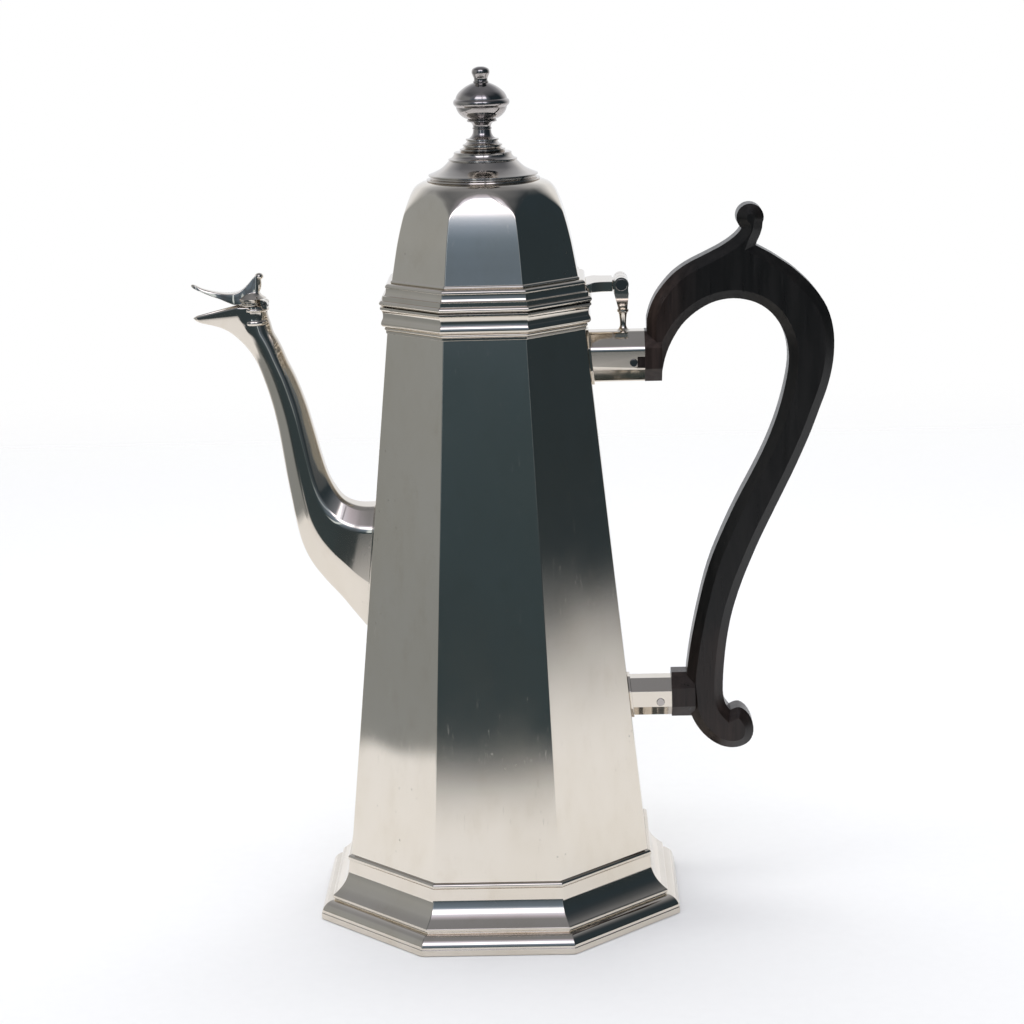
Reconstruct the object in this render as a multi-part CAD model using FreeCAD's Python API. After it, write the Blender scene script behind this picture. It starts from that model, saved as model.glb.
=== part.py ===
# Octagonal silver coffee pot with hinged domed lid, faceted swan-neck spout
# with a hinged flap, and a pinned hardwood scroll handle.
# Frame: millimetres, +Z up, origin on the vessel's axis at the plane it stands
# on, spout towards -X, handle towards +X.
import FreeCAD, Part
import math
import os

V = FreeCAD.Vector

# ----------------------------------------------------------------- dimensions
WALL = 1.0                 # sheet silver
Z_FLOOR = 13.0             # underside of the vessel's bottom plate
FLOOR_T = 1.2              # bottom plate thickness
Z_LOW, A_LOW = 19.0, 44.24     # body facet apothem just above the foot
Z_HIGH, A_HIGH = 175.0, 28.66  # body facet apothem just under the rim moulding
Z_MOUTH = 182.8            # top edge of the body
LID_GAP = 0.4              # daylight between body and lid
Z_LID = Z_MOUTH + LID_GAP
Z_DOME = 189.45            # foot of the dome
Z_DOME_TOP = 217.7
Z_TOP = 250.0

FOOT_A = 53.6              # foot apothem (107.2 across flats)
SPOUT_SEAT_T = 0.7
SOCKET_PLATE_T = 0.8

UP_Z, UP_AP, UP_X = 165.36, 7.45, 45.9     # upper handle socket
LO_Z, LO_AP, LO_X = 61.6, 5.75, 52.6       # lower handle socket
SOCKET_WALL = 0.9
TENON_CLEAR = 0.1
UP_PIN = (42.6, 164.1, 1.15)
LO_PIN = (49.2, 60.7, 1.2)

HINGE_X, HINGE_Z = 39.3, 187.0   # lid hinge axis, along Y
HINGE_R = 2.15                   # knuckle radius
HINGE_HALF = 6.9                 # half the hinge's length
HINGE_MID = 3.2                  # half the lid knuckle's length
HINGE_PIN_R = 1.2
HINGE_RUN = 0.05                 # radial running clearance
POST_X = 39.8                    # axis of the turned hinge post

FLAP_X, FLAP_Z = -64.95, 183.0   # spout flap hinge axis, along Y
FLAP_R = 0.95
FLAP_PIN_R = 0.5
FLAP_MID = 1.2
FLAP_END = 2.9
HEAD_X = -68.2                   # centre of the ringed mouth of the spout

HANDLE_T = 6.0                   # half thickness of the wooden handle
HANDLE_CH = 2.7                  # chamfer along its edges, in profile
HANDLE_CY = 2.4                  # the same chamfer, across the handle

TAPER = (A_LOW - A_HIGH) / (Z_HIGH - Z_LOW)
COS8 = math.cos(math.pi / 8)


def a_body(z):
    return A_LOW - TAPER * (z - Z_LOW)


# -------------------------------------------------------------------- helpers
def wire(profile):
    """Closed wire in the XZ plane from ("M"|"L", point) and ("S", points)."""
    out = []
    first = cur = profile[0][1]
    for kind, p in profile[1:]:
        if kind == "L":
            out.append(Part.LineSegment(V(cur[0], 0, cur[1]), V(p[0], 0, p[1])).toShape())
            cur = p
        else:
            c = Part.BSplineCurve()
            c.interpolate([V(q[0], 0, q[1]) for q in [cur] + p])
            out.append(c.toShape())
            cur = p[-1]
    if abs(cur[0] - first[0]) + abs(cur[1] - first[1]) > 1e-9:
        out.append(Part.LineSegment(V(cur[0], 0, cur[1]), V(first[0], 0, first[1])).toShape())
    return Part.Wire(out)


def oct_ring(profile):
    """Moulding mitred round the octagon; the profile is (apothem, z)."""
    R = 50.0 / COS8
    pts = [V(50.0, 0, 0)]
    pts += [V(R * math.cos(math.radians(22.5 + 45 * k)), R * math.sin(math.radians(22.5 + 45 * k)), 0) for k in range(8)]
    pts += [V(50.0, 0, 0)]
    return Part.makePolygon(pts).makePipeShell([wire(profile)], True, False, 1).removeSplitter()


def revolved(profile):
    return Part.Face(wire(profile)).revolve(V(0, 0, 0), V(0, 0, 1), 360)


def oct_pts(a, z):
    R = a / COS8
    return [V(R * math.cos(math.radians(22.5 + 45 * k)), R * math.sin(math.radians(22.5 + 45 * k)), z) for k in range(8)]


def solid_from_rings(rings):
    """Closed solid from rings of points with planar sides and planar ends."""
    faces = []
    n = len(rings[0])
    for a, b in zip(rings[:-1], rings[1:]):
        for i in range(n):
            j = (i + 1) % n
            faces.append(Part.Face(Part.makePolygon([a[i], a[j], b[j], b[i], a[i]])))
    for r in (rings[0], rings[-1]):
        faces.append(Part.Face(Part.makePolygon(list(r) + [r[0]])))
    s = Part.Solid(Part.Shell(faces))
    s.fix(1e-6, 1e-6, 1e-6)
    if s.Volume < 0:
        s.reverse()
    return s


def oct_solid(pairs):
    return solid_from_rings([oct_pts(a, z) for a, z in pairs])


def oct_bar(x0, x1, zc, ap):
    """Octagonal bar along X, flats up, down and to the sides."""
    R = ap / COS8
    def ring(x):
        return [V(x, R * math.cos(math.radians(22.5 + 45 * k)), zc + R * math.sin(math.radians(22.5 + 45 * k))) for k in range(8)]
    return solid_from_rings([ring(x0), ring(x1)])


def ybar(x, z, r, y0, y1):
    return Part.makeCylinder(r, y1 - y0, V(x, y0, z), V(0, 1, 0))


def box(x0, x1, y0, y1, z0, z1):
    return Part.makeBox(x1 - x0, y1 - y0, z1 - z0, V(x0, y0, z0))


def prism_y(pts, y0, y1):
    f = Part.Face(Part.makePolygon([V(x, y0, z) for x, z in pts] + [V(pts[0][0], y0, pts[0][1])]))
    return f.extrude(V(0, y1 - y0, 0))


def inset(pts, d):
    """Mitred inset of a closed 2-D polygon."""
    area = sum(p[0] * q[1] - q[0] * p[1] for p, q in zip(pts, pts[1:] + pts[:1])) / 2
    s = 1.0 if area > 0 else -1.0
    n = len(pts)
    out = []
    for i in range(n):
        p0, p1, p2 = pts[i - 1], pts[i], pts[(i + 1) % n]
        u = (p1[0] - p0[0], p1[1] - p0[1])
        w = (p2[0] - p1[0], p2[1] - p1[1])
        lu, lw = math.hypot(*u), math.hypot(*w)
        nu = (-s * u[1] / lu, s * u[0] / lu)
        nw = (-s * w[1] / lw, s * w[0] / lw)
        k = d / (1.0 + nu[0] * nw[0] + nu[1] * nw[1])
        out.append((p1[0] + k * (nu[0] + nw[0]), p1[1] + k * (nu[1] + nw[1])))
    return out


def smooth(pts, sub=2):
    """Catmull-Rom refinement of an open run of points."""
    out = []
    n = len(pts)
    for i in range(n - 1):
        p1, p2 = pts[i], pts[i + 1]
        p0 = pts[i - 1] if i else (2 * p1[0] - p2[0], 2 * p1[1] - p2[1])
        p3 = pts[i + 2] if i + 2 < n else (2 * p2[0] - p1[0], 2 * p2[1] - p1[1])
        for k in range(sub):
            t = k / float(sub)
            out.append(tuple(0.5 * (2 * p1[c] + (p2[c] - p0[c]) * t
                                    + (2 * p0[c] - 5 * p1[c] + 4 * p2[c] - p3[c]) * t * t
                                    + (3 * p1[c] - p0[c] - 3 * p2[c] + p3[c]) * t ** 3) for c in (0, 1)))
    out.append(pts[-1])
    return out


parts = {}

# ----------------------------------------------------------------- the vessel
shell = oct_ring([("M", (a_body(Z_FLOOR), Z_FLOOR)), ("L", (a_body(Z_MOUTH), Z_MOUTH)),
                  ("L", (a_body(Z_MOUTH) - WALL, Z_MOUTH)), ("L", (a_body(Z_FLOOR) - WALL, Z_FLOOR))])
# strainer: round holes through the facet behind the spout's root
holes = []
for row in range(7):
    zc = 92.5 + 3.6 * row
    n = 3 if row % 2 == 0 else 2
    for k in range(n):
        yc = (k - (n - 1) / 2.0) * 4.2
        holes.append(Part.makeCylinder(1.1, 12, V(-44, yc, zc), V(1, 0, 0)))
parts["body_shell"] = shell.cut(Part.makeCompound(holes))

parts["base_plate"] = oct_solid([(a_body(Z_FLOOR) - WALL, Z_FLOOR),
                                 (a_body(Z_FLOOR + FLOOR_T) - WALL, Z_FLOOR + FLOOR_T)])

parts["foot_moulding"] = oct_ring([
    ("M", (51.9, 0.0)), ("L", (FOOT_A, 0.0)), ("L", (FOOT_A, 1.8)), ("L", (53.42, 1.92)),
    ("S", [(53.2, 3.0), (52.5, 4.15), (51.35, 5.05), (49.95, 5.5)]),
    ("L", (49.7, 5.55)), ("L", (49.7, 5.95)), ("L", (50.1, 6.1)), ("L", (50.12, 6.85)), ("L", (49.95, 7.05)),
    ("S", [(48.1, 8.6), (46.95, 9.9), (46.15, 11.2), (45.6, 12.6), (45.28, 13.9)]),
    ("L", (44.95, 17.15)), ("L", (45.12, 17.25)),
    ("S", [(45.32, 17.7), (45.3, 18.25), (44.95, 18.7)]),
    ("L", (44.6, 18.8)), ("L", (a_body(19.0), 19.0)), ("L", (a_body(Z_FLOOR), Z_FLOOR)),
    ("L", (44.65, 12.0)), ("S", [(45.55, 9.6), (47.95, 6.3), (50.5, 3.6), (51.9, 1.8)])])

parts["rim_moulding"] = oct_ring([
    ("M", (a_body(175.0), 175.0)), ("L", (28.95, 175.12)), ("L", (28.98, 175.85)), ("L", (28.8, 175.95)),
    ("S", [(29.22, 176.12), (29.34, 176.5), (29.12, 176.9)]), ("L", (29.0, 177.0)),
    ("S", [(29.85, 177.18), (30.28, 177.75), (30.2, 178.6), (29.82, 179.35)]),
    ("S", [(29.7, 180.3), (29.85, 181.3), (30.3, 182.05)]),
    ("L", (30.48, 182.12)), ("L", (30.5, 182.7)), ("L", (30.4, Z_MOUTH)), ("L", (a_body(Z_MOUTH), Z_MOUTH))])

body_full = oct_solid([(a_body(Z_FLOOR), Z_FLOOR), (a_body(Z_MOUTH), Z_MOUTH)])


def body_grown(t):
    g = t * math.sqrt(1 + TAPER ** 2)
    return oct_solid([(a_body(Z_FLOOR) + g, Z_FLOOR), (a_body(Z_MOUTH) + g, Z_MOUTH)])


# ------------------------------------------------------------------ the spout
# Each station: front (lower) point, back (upper) point, half width, half width
# of the front facet and of the back facet, and where along the depth the two
# side creases lie. Stations run from the root on the body up to the lip.
ST = [
    ((-32.0, 84.0), (-26.0, 122.0), 9.6, 0.9, 4.7, 0.385, 0.845),
    ((-38.6, 84.9), (-34.8, 122.2), 9.5, 0.9, 4.6, 0.385, 0.845),
    ((-41.6, 88.7), (-37.9, 122.2), 9.0, 1.2, 4.4, 0.38, 0.83),
    ((-45.6, 94.0), (-40.9, 122.8), 8.1, 1.5, 3.9, 0.37, 0.80),
    ((-50.2, 99.4), (-43.8, 124.4), 7.1, 1.8, 3.3, 0.36, 0.76),
    ((-54.3, 105.2), (-46.1, 127.3), 6.4, 2.1, 2.9, 0.35, 0.72),
    ((-56.8, 111.0), (-47.7, 130.4), 6.0, 2.3, 2.6, 0.34, 0.69),
    ((-58.3, 117.5), (-48.9, 133.6), 5.7, 2.4, 2.5, 0.335, 0.67),
    ((-59.4, 124.2), (-50.0, 137.5), 5.5, 2.4, 2.4, 0.33, 0.66),
    ((-60.6, 131.8), (-51.1, 142.0), 5.3, 2.3, 2.3, 0.33, 0.66),
    ((-61.6, 139.3), (-52.3, 146.8), 5.1, 2.2, 2.2, 0.33, 0.66),
    ((-62.7, 146.7), (-53.6, 151.9), 4.9, 2.1, 2.1, 0.33, 0.66),
    ((-64.2, 153.8), (-55.2, 156.9), 4.7, 2.0, 2.0, 0.33, 0.66),
    ((-66.2, 160.6), (-57.0, 161.7), 4.55, 1.9, 1.9, 0.34, 0.67),
    ((-68.6, 166.6), (-59.2, 166.6), 4.4, 1.8, 1.8, 0.36, 0.68),
    ((-70.6, 169.7), (-60.4, 169.7), 4.3, 1.75, 1.8, 0.40, 0.70),
    ((-72.9, 172.3), (-61.6, 172.3), 4.2, 1.7, 1.8, 0.46, 0.72),
    ((-75.6, 174.6), (-62.8, 174.6), 4.1, 1.6, 1.8, 0.52, 0.75),
    ((-78.5, 176.1), (-63.5, 176.1), 4.0, 1.5, 1.8, 0.57, 0.79),
    ((-81.4, 176.95), (-63.9, 176.95), 3.95, 1.4, 1.8, 0.62, 0.82),
    ((-84.2, 177.6), (-64.15, 177.6), 3.9, 1.3, 1.8, 0.66, 0.85),
    ((-85.8, 178.5), (-64.3, 178.5), 3.9, 1.3, 1.8, 0.68, 0.86),
    ((-86.1, 179.6), (-64.4, 179.6), 3.9, 1.3, 1.8, 0.68, 0.86),
    ((-86.2, 182.3), (-64.4, 182.3), 3.9, 1.3, 1.8, 0.68, 0.86),
]
BORE_INSET = 0.95


def section(st, d=0.0, lift=0.0):
    (fx, fz), (bx, bz), w, wf, wb, c1, c2 = st
    L = math.hypot(bx - fx, bz - fz)
    ux, uz = (bx - fx) / L, (bz - fz) / L
    flat = [(0, -wf), (c1 * L, -w), (c2 * L, -w), (L, -wb), (L, wb), (c2 * L, w), (c1 * L, w), (0, wf)]
    if d:
        flat = inset(flat, d)
    return [V(fx + ux * s, t, fz + uz * s + lift) for s, t in flat]


def loft(rings):
    return Part.makeLoft([Part.makePolygon(r + [r[0]]) for r in rings], True, True)


neck_full = loft([section(s) for s in ST])
lifts = [0.0] * 14 + [0.15, 0.3, 0.5, 0.65, 0.8, 0.9, 0.9, 0.9, 0.9, 1.6]
bore = loft([section(s, BORE_INSET, dz) for s, dz in zip(ST, lifts)])
# the mouth's rim: level behind, sloping down to the lip in front
mouth_cut = prism_y([(-100, 175.2), (-86.4, 179.15), (-74.8, 182.3), (-55, 182.3), (-55, 200), (-100, 200)], -12, 12)
seat_t = body_grown(SPOUT_SEAT_T)
flap_relief = ybar(FLAP_X, FLAP_Z, FLAP_R + 0.3, -FLAP_MID - 0.2, FLAP_MID + 0.2)
parts["spout_neck"] = neck_full.cut(bore).cut(mouth_cut).cut(seat_t).cut(flap_relief)

root = section(((-38.6, 84.9), (-34.8, 122.2), 9.5, 0.9, 4.6, 0.385, 0.845), -0.75)
bore_root = section(((-38.6, 84.9), (-34.8, 122.2), 9.5, 0.9, 4.6, 0.385, 0.845), BORE_INSET)


def along_x(ring, x0, x1):
    return solid_from_rings([[V(x0, p.y, p.z) for p in ring], [V(x1, p.y, p.z) for p in ring]])


parts["spout_seat"] = along_x(root, -50, -20).common(seat_t.cut(body_full)).cut(along_x(bore_root, -51, -19))


def about_head(profile):
    s = Part.Face(wire(profile)).revolve(V(0, 0, 0), V(0, 0, 1), 230)
    s.rotate(V(0, 0, 0), V(0, 0, 1), -115)
    s.translate(V(HEAD_X, 0, 0))
    return s


collar = about_head([("M", (2.6, 176.9)), ("L", (4.15, 176.9)), ("S", [(4.42, 177.5), (4.2, 178.15)]),
                     ("L", (4.0, 178.3)), ("S", [(3.95, 179.6), (4.0, 180.8)]), ("L", (4.3, 181.0)),
                     ("S", [(4.42, 181.35), (4.3, 181.7)]), ("L", (4.05, 181.8)), ("L", (4.1, 182.3)), ("L", (2.6, 182.3))])
lug = ybar(FLAP_X, FLAP_Z, FLAP_R, -FLAP_END, FLAP_END).fuse(box(FLAP_X - 0.6, FLAP_X + 0.8, -FLAP_END, FLAP_END, 181.5, FLAP_Z - 0.2))
spout_room = neck_full.cut(mouth_cut)
collar = collar.cut(spout_room).fuse(lug.cut(spout_room).cut(bore)).cut(flap_relief)
collar = collar.cut(ybar(FLAP_X, FLAP_Z, FLAP_PIN_R + 0.02, -5, 5))
parts["spout_collar"] = collar.removeSplitter()
parts["flap_hinge_pin"] = ybar(FLAP_X, FLAP_Z, FLAP_PIN_R, -FLAP_END - 0.1, FLAP_END + 0.1)

# ------------------------------------------------------------- the spout flap
side = smooth([(-86.5, 188.2), (-86.1, 188.9), (-85.2, 189.0), (-83.6, 188.2), (-80.9, 187.0), (-78.0, 186.3),
               (-75.1, 186.3), (-72.3, 187.3), (-70.1, 189.0), (-68.4, 191.1), (-67.2, 192.0), (-66.4, 191.9)]) \
    + smooth([(-66.3, 191.5), (-66.5, 189.6), (-66.5, 187.4), (-65.6, 185.7), (-64.3, 184.7)])[:-1] \
    + [(-63.9, 184.4), (-63.9, 182.6), (-74.2, 182.6)] \
    + smooth([(-74.9, 183.2), (-76.8, 184.2), (-79.5, 185.4), (-82.4, 186.3), (-85.0, 187.2)])
flap = prism_y(side, -5, 5)
plan = [(HEAD_X + 4.3 * math.cos(t), 4.3 * math.sin(t)) for t in [math.radians(a) for a in range(-100, 101, 10)]]
plan += smooth([(-71.5, 4.1), (-75.0, 3.7), (-78.8, 3.2), (-82.4, 2.5), (-85.3, 1.5), (-86.4, 0.6)])
plan += [(x, -y) for x, y in smooth([(-71.5, 4.1), (-75.0, 3.7), (-78.8, 3.2), (-82.4, 2.5), (-85.3, 1.5), (-86.4, 0.6)])[::-1]]
plan_f = Part.Face(Part.makePolygon([V(x, y, 180) for x, y in plan] + [V(plan[0][0], plan[0][1], 180)])).extrude(V(0, 0, 15))
front = [(4.4, 182), (4.4, 185.4), (3.4, 187.0), (2.2, 188.4), (1.6, 189.8), (1.1, 192.3)]
front = front + [(-y, z) for y, z in front[::-1]]
front_f = Part.Face(Part.makePolygon([V(-100, y, z) for y, z in front] + [V(-100, front[0][0], front[0][1])])).extrude(V(60, 0, 0))
flap = flap.common(plan_f).common(front_f)
ring_cut = Part.Face(wire([("M", (4.0, 183.15)), ("L", (5.5, 183.0)), ("L", (5.5, 184.3)), ("L", (3.85, 183.55))])).revolve(V(0, 0, 0), V(0, 0, 1), 200)
ring_cut.rotate(V(0, 0, 0), V(0, 0, 1), -100)
ring_cut.translate(V(HEAD_X, 0, 0))
flap = flap.cut(ring_cut)
flap = flap.cut(box(FLAP_X - FLAP_R - 0.3, FLAP_X + 3, FLAP_MID, 6, 182, 184.25))
flap = flap.cut(box(FLAP_X - FLAP_R - 0.3, FLAP_X + 3, -6, -FLAP_MID, 182, 184.25))
flap = flap.cut(box(FLAP_X, FLAP_X + 3, -FLAP_MID, FLAP_MID, 182, FLAP_Z + 1.0))
flap = flap.cut(box(FLAP_X - FLAP_R, FLAP_X + 3, -FLAP_MID, FLAP_MID, 182, FLAP_Z - 0.3))
flap = flap.fuse(ybar(FLAP_X, FLAP_Z, FLAP_R, -FLAP_MID, FLAP_MID))
flap = flap.cut(ybar(FLAP_X, FLAP_Z, FLAP_PIN_R + HINGE_RUN, -5, 5))
parts["spout_flap"] = flap.removeSplitter()

# -------------------------------------------------------------- the lid group
parts["lid_bezel"] = oct_ring([
    ("M", (25.9, Z_LID)), ("L", (30.3, Z_LID)), ("L", (30.45, 183.4)),
    ("S", [(30.7, 183.85), (30.45, 184.4), (29.95, 184.68)]), ("L", (29.78, 184.75)), ("L", (29.72, 185.95)),
    ("S", [(29.2, 186.15), (28.86, 186.75), (28.7, 187.5), (28.64, 188.2)]), ("L", (28.82, 188.3)),
    ("S", [(28.78, 188.85), (28.3, 189.3), (27.6, Z_DOME)]), ("L", (25.9, Z_DOME))])

parts["lid_flange"] = oct_ring([
    ("M", (25.2, 179.9)), ("L", (26.2, 179.9)), ("L", (26.2, Z_LID)), ("L", (25.9, Z_LID)),
    ("L", (25.9, 186.0)), ("L", (25.2, 186.0))])

dome = oct_ring([
    ("M", (25.95, Z_DOME)), ("L", (27.1, Z_DOME)), ("S", [(27.28, 189.85), (26.85, 190.35)]),
    ("S", [(26.38, 193.0), (25.74, 196.7), (24.97, 200.8), (24.12, 204.5), (23.38, 207.3), (22.45, 210.4),
           (21.72, 212.5), (20.75, 214.75), (19.6, 216.25), (18.0, 217.2), (16.0, Z_DOME_TOP)]),
    ("L", (7.0, Z_DOME_TOP)), ("L", (7.0, Z_DOME_TOP - WALL)), ("L", (15.6, Z_DOME_TOP - WALL)),
    ("S", [(17.6, 216.2), (18.9, 215.35), (19.85, 214.1), (20.75, 212.1), (21.45, 210.1), (22.38, 207.0),
           (23.13, 204.2), (23.97, 200.6), (24.75, 196.4), (25.36, 193.0), (25.95, Z_DOME + 0.6)])])
crown = oct_solid([(7.0, Z_DOME_TOP - WALL), (7.0, Z_DOME_TOP)]).cut(Part.makeCylinder(1.6, 4, V(0, 0, 215)))
parts["lid_dome"] = dome.fuse(crown).removeSplitter()

parts["finial_seat"] = revolved([
    ("M", (1.55, Z_DOME_TOP)), ("L", (16.35, Z_DOME_TOP)), ("L", (16.5, 217.9)), ("L", (16.4, 218.15)), ("L", (15.8, 218.3)),
    ("S", [(15.45, 218.6), (15.5, 218.95)]), ("L", (15.9, 219.1)), ("L", (15.85, 219.4)), ("L", (15.5, 219.55)),
    ("S", [(13.7, 220.3), (12.0, 221.25), (10.8, 222.3), (9.9, 223.2)]), ("L", (9.75, 223.35)), ("L", (10.0, 223.5)),
    ("L", (9.95, 223.8)), ("S", [(9.3, 224.0), (8.7, 224.5), (8.35, 225.2)]), ("L", (8.4, 225.55)), ("L", (8.1, 225.75)),
    ("S", [(6.8, 225.9), (6.15, 226.15)]), ("L", (6.6, 226.3)), ("L", (6.6, 226.6)),
    ("S", [(5.75, 226.85), (5.35, 227.3)]), ("L", (5.75, 227.45)), ("L", (5.7, 227.85)),
    ("S", [(4.9, 228.2), (4.4, 228.9)]), ("L", (4.8, 229.1)), ("L", (4.75, 229.45)), ("L", (3.9, 229.6)), ("L", (1.55, 229.6))])

parts["finial_knop"] = revolved([
    ("M", (1.55, 229.6)), ("L", (3.9, 229.6)), ("S", [(3.4, 229.95), (2.98, 230.5), (2.7, 231.2)]), ("L", (2.6, 232.1)),
    ("L", (2.8, 232.25)), ("L", (2.8, 232.6)), ("L", (2.6, 232.75)), ("S", [(2.7, 233.4), (3.1, 233.95), (3.7, 234.25)]),
    ("L", (4.2, 234.35)), ("L", (4.35, 234.6)), ("L", (4.2, 234.9)), ("L", (3.95, 235.0)),
    ("S", [(5.3, 235.6), (6.35, 236.5), (7.0, 237.45), (7.38, 238.6)]), ("L", (7.62, 238.85)),
    ("S", [(8.1, 239.5), (8.1, 240.2), (7.72, 240.75)]), ("L", (7.45, 240.9)),
    ("S", [(7.2, 241.7), (6.6, 242.65), (5.7, 243.5), (4.6, 244.3), (3.4, 244.95), (2.3, 245.4)]),
    ("L", (0.0, 245.4)), ("L", (0.0, 238.0)), ("L", (1.55, 238.0))])

parts["finial_button"] = revolved([
    ("M", (0.0, 245.4)), ("L", (2.2, 245.4)), ("L", (2.25, 245.75)), ("L", (2.0, 246.0)),
    ("S", [(1.98, 246.6), (2.28, 247.4), (2.6, 248.3), (2.4, 249.2), (1.4, 249.83), (0.0, Z_TOP)])])

parts["finial_stud"] = Part.makeCylinder(1.5, 24.8, V(0, 0, 213.0))
hexa = [V(3.5 / math.cos(math.pi / 6) * math.cos(math.radians(60 * k)), 3.5 / math.cos(math.pi / 6) * math.sin(math.radians(60 * k)), 214.0) for k in range(6)]
parts["finial_nut"] = Part.Face(Part.makePolygon(hexa + [hexa[0]])).extrude(V(0, 0, Z_DOME_TOP - WALL - 214.0)).cut(
    Part.makeCylinder(1.55, 6, V(0, 0, 212)))

# -------------------------------------------------------------- the lid hinge
strap_plan = [(27.5, -8.6), (30.6, -8.6), (33.2, -7.2), (36.8, -HINGE_HALF), (36.8, -HINGE_MID), (38.6, -HINGE_MID),
              (38.6, HINGE_MID), (36.8, HINGE_MID), (36.8, HINGE_HALF), (33.2, 7.2), (30.6, 8.6), (27.5, 8.6)]
strap = Part.Face(Part.makePolygon([V(x, y, 185.1) for x, y in strap_plan] + [V(27.5, -8.6, 185.1)])).extrude(V(0, 0, 2.9))
bezel_room = oct_solid([(29.78, Z_LID - 1), (29.78, 184.75), (29.72, 185.95), (28.7, 187.5), (28.64, 189.0)])
strap = strap.cut(bezel_room)
edge_cut = prism_y([(20, 187.3), (29.0, 187.5), (31.5, 188.0), (31.5, 189), (20, 189)], -12, 12)
strap = strap.cut(edge_cut)
strap = strap.fuse(ybar(HINGE_X, HINGE_Z, HINGE_R, -HINGE_MID, HINGE_MID))
strap = strap.cut(ybar(HINGE_X, HINGE_Z, HINGE_PIN_R + HINGE_RUN, -9, 9)).cut(parts["lid_bezel"])
parts["lid_hinge_arm"] = strap.removeSplitter()

stem = revolved([("M", (0.0, UP_Z + UP_AP)), ("L", (2.15, UP_Z + UP_AP)), ("S", [(1.35, 173.3), (0.92, 174.4)]),
                 ("S", [(0.98, 175.8), (1.2, 177.4)]), ("L", (1.5, 178.1)), ("L", (1.7, 178.25)), ("L", (1.7, 178.95)),
                 ("L", (1.35, 179.1)), ("L", (0.0, 179.1))])
stem.translate(V(POST_X, 0, 0))
fork = solid_from_rings([
    [V(38.5, -1.4, 179.1), V(41.1, -1.4, 179.1), V(41.1, 1.4, 179.1), V(38.5, 1.4, 179.1)],
    [V(37.15, -HINGE_HALF, 184.6), V(41.45, -HINGE_HALF, 184.6), V(41.45, HINGE_HALF, 184.6), V(37.15, HINGE_HALF, 184.6)]])
fork = fork.cut(ybar(HINGE_X, HINGE_Z, HINGE_R + 0.5, -9, 9))
parts["hinge_post"] = stem.fuse(fork).removeSplitter()
ears = []
for s in (-1, 1):
    y0, y1 = sorted((s * (HINGE_MID + 0.2), s * HINGE_HALF))
    ear = ybar(HINGE_X, HINGE_Z, HINGE_R, y0, y1).fuse(box(HINGE_X - 2.0, HINGE_X + 2.0, y0, y1, 184.0, HINGE_Z))
    ear = ear.cut(fork).common(box(HINGE_X - 3, HINGE_X + 3, -9, 9, 184.35, 192))
    ears.append(ear.cut(ybar(HINGE_X, HINGE_Z, HINGE_PIN_R + 0.02, -9, 9)))
parts["hinge_knuckles"] = Part.makeCompound([s for e in ears for s in e.Solids])
pin = ybar(HINGE_X, HINGE_Z, HINGE_PIN_R, -HINGE_HALF, HINGE_HALF)
for y0, y1 in ((-HINGE_HALF - 0.45, -HINGE_HALF), (HINGE_HALF, HINGE_HALF + 0.45)):
    pin = pin.fuse(ybar(HINGE_X, HINGE_Z, 1.75, y0, y1))
parts["lid_hinge_pin"] = pin.removeSplitter()

# ------------------------------------------------------------ handle sockets
plate_t = body_grown(SOCKET_PLATE_T)
plate_shell = plate_t.cut(body_full)
for name, x1, zc, ap, (px, pz, pr) in (("upper", UP_X, UP_Z, UP_AP, UP_PIN), ("lower", LO_X, LO_Z, LO_AP, LO_PIN)):
    parts[name + "_socket_plate"] = oct_bar(22, 56, zc, ap + 0.65).common(plate_shell)
    sock = oct_bar(22, x1, zc, ap).cut(plate_t)
    sock = sock.cut(oct_bar(20, x1 + 5, zc, ap - SOCKET_WALL))
    if name == "upper":
        # small notches in the socket's edge, beside the pin's two ends
        sock = sock.cut(box(UP_X - 2.2, UP_X + 1, -9, 9, 162.5, 165.9))
    sock = sock.cut(ybar(px, pz, pr + 0.02, -12, 12))
    parts[name + "_socket"] = sock
    parts[name + "_handle_pin"] = ybar(px, pz, pr, -ap - 0.25, ap + 0.25)

# ------------------------------------------------------------- wooden handle
ball = [(76.85 + 3.95 * math.cos(math.radians(a)), 205.35 + 3.95 * math.sin(math.radians(a))) for a in range(228, -34, -12)]
outline = [(46.6, 171.0)]
outline += smooth([(46.6, 176.2), (47.5, 179.6), (49.2, 183.2), (51.6, 186.5), (54.1, 189.2), (56.8, 191.3), (59.7, 193.0),
                   (62.6, 194.4), (65.5, 195.8), (68.4, 197.3), (71.2, 199.1), (73.2, 200.8), (74.2, 202.1)])
outline += ball
outline += smooth([(80.3, 202.2), (79.7, 200.3), (78.9, 198.6), (78.4, 197.3)])
outline += smooth([(80.2, 196.3), (82.9, 194.8), (85.8, 192.9), (88.7, 190.9), (91.6, 188.4), (94.4, 185.6), (97.1, 182.2),
                   (99.1, 178.8), (100.4, 175.0), (101.1, 171.0), (101.2, 167.0), (100.9, 163.0), (100.1, 158.6),
                   (98.8, 154.0), (97.1, 149.4), (94.5, 142.4), (91.5, 135.4), (88.6, 129.1), (85.6, 123.0), (82.6, 116.9),
                   (79.6, 110.7), (76.7, 104.1), (74.0, 97.4), (71.9, 91.2), (70.4, 85.6), (69.2, 79.0), (68.4, 72.0),
                   (68.0, 65.6), (68.1, 61.6), (68.9, 58.9), (70.2, 57.2)])
outline += smooth([(71.4, 57.8), (73.0, 58.0), (74.9, 56.8), (76.4, 54.5), (77.1, 51.9), (76.9, 49.3), (75.8, 47.3), (74.1, 46.1),
                   (72.0, 45.5), (69.7, 45.5), (67.1, 46.2), (64.4, 47.8), (62.0, 50.0), (60.2, 52.4), (59.0, 54.6)])
outline += [(57.8, 57.5), (57.0, 66.5)]
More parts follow.
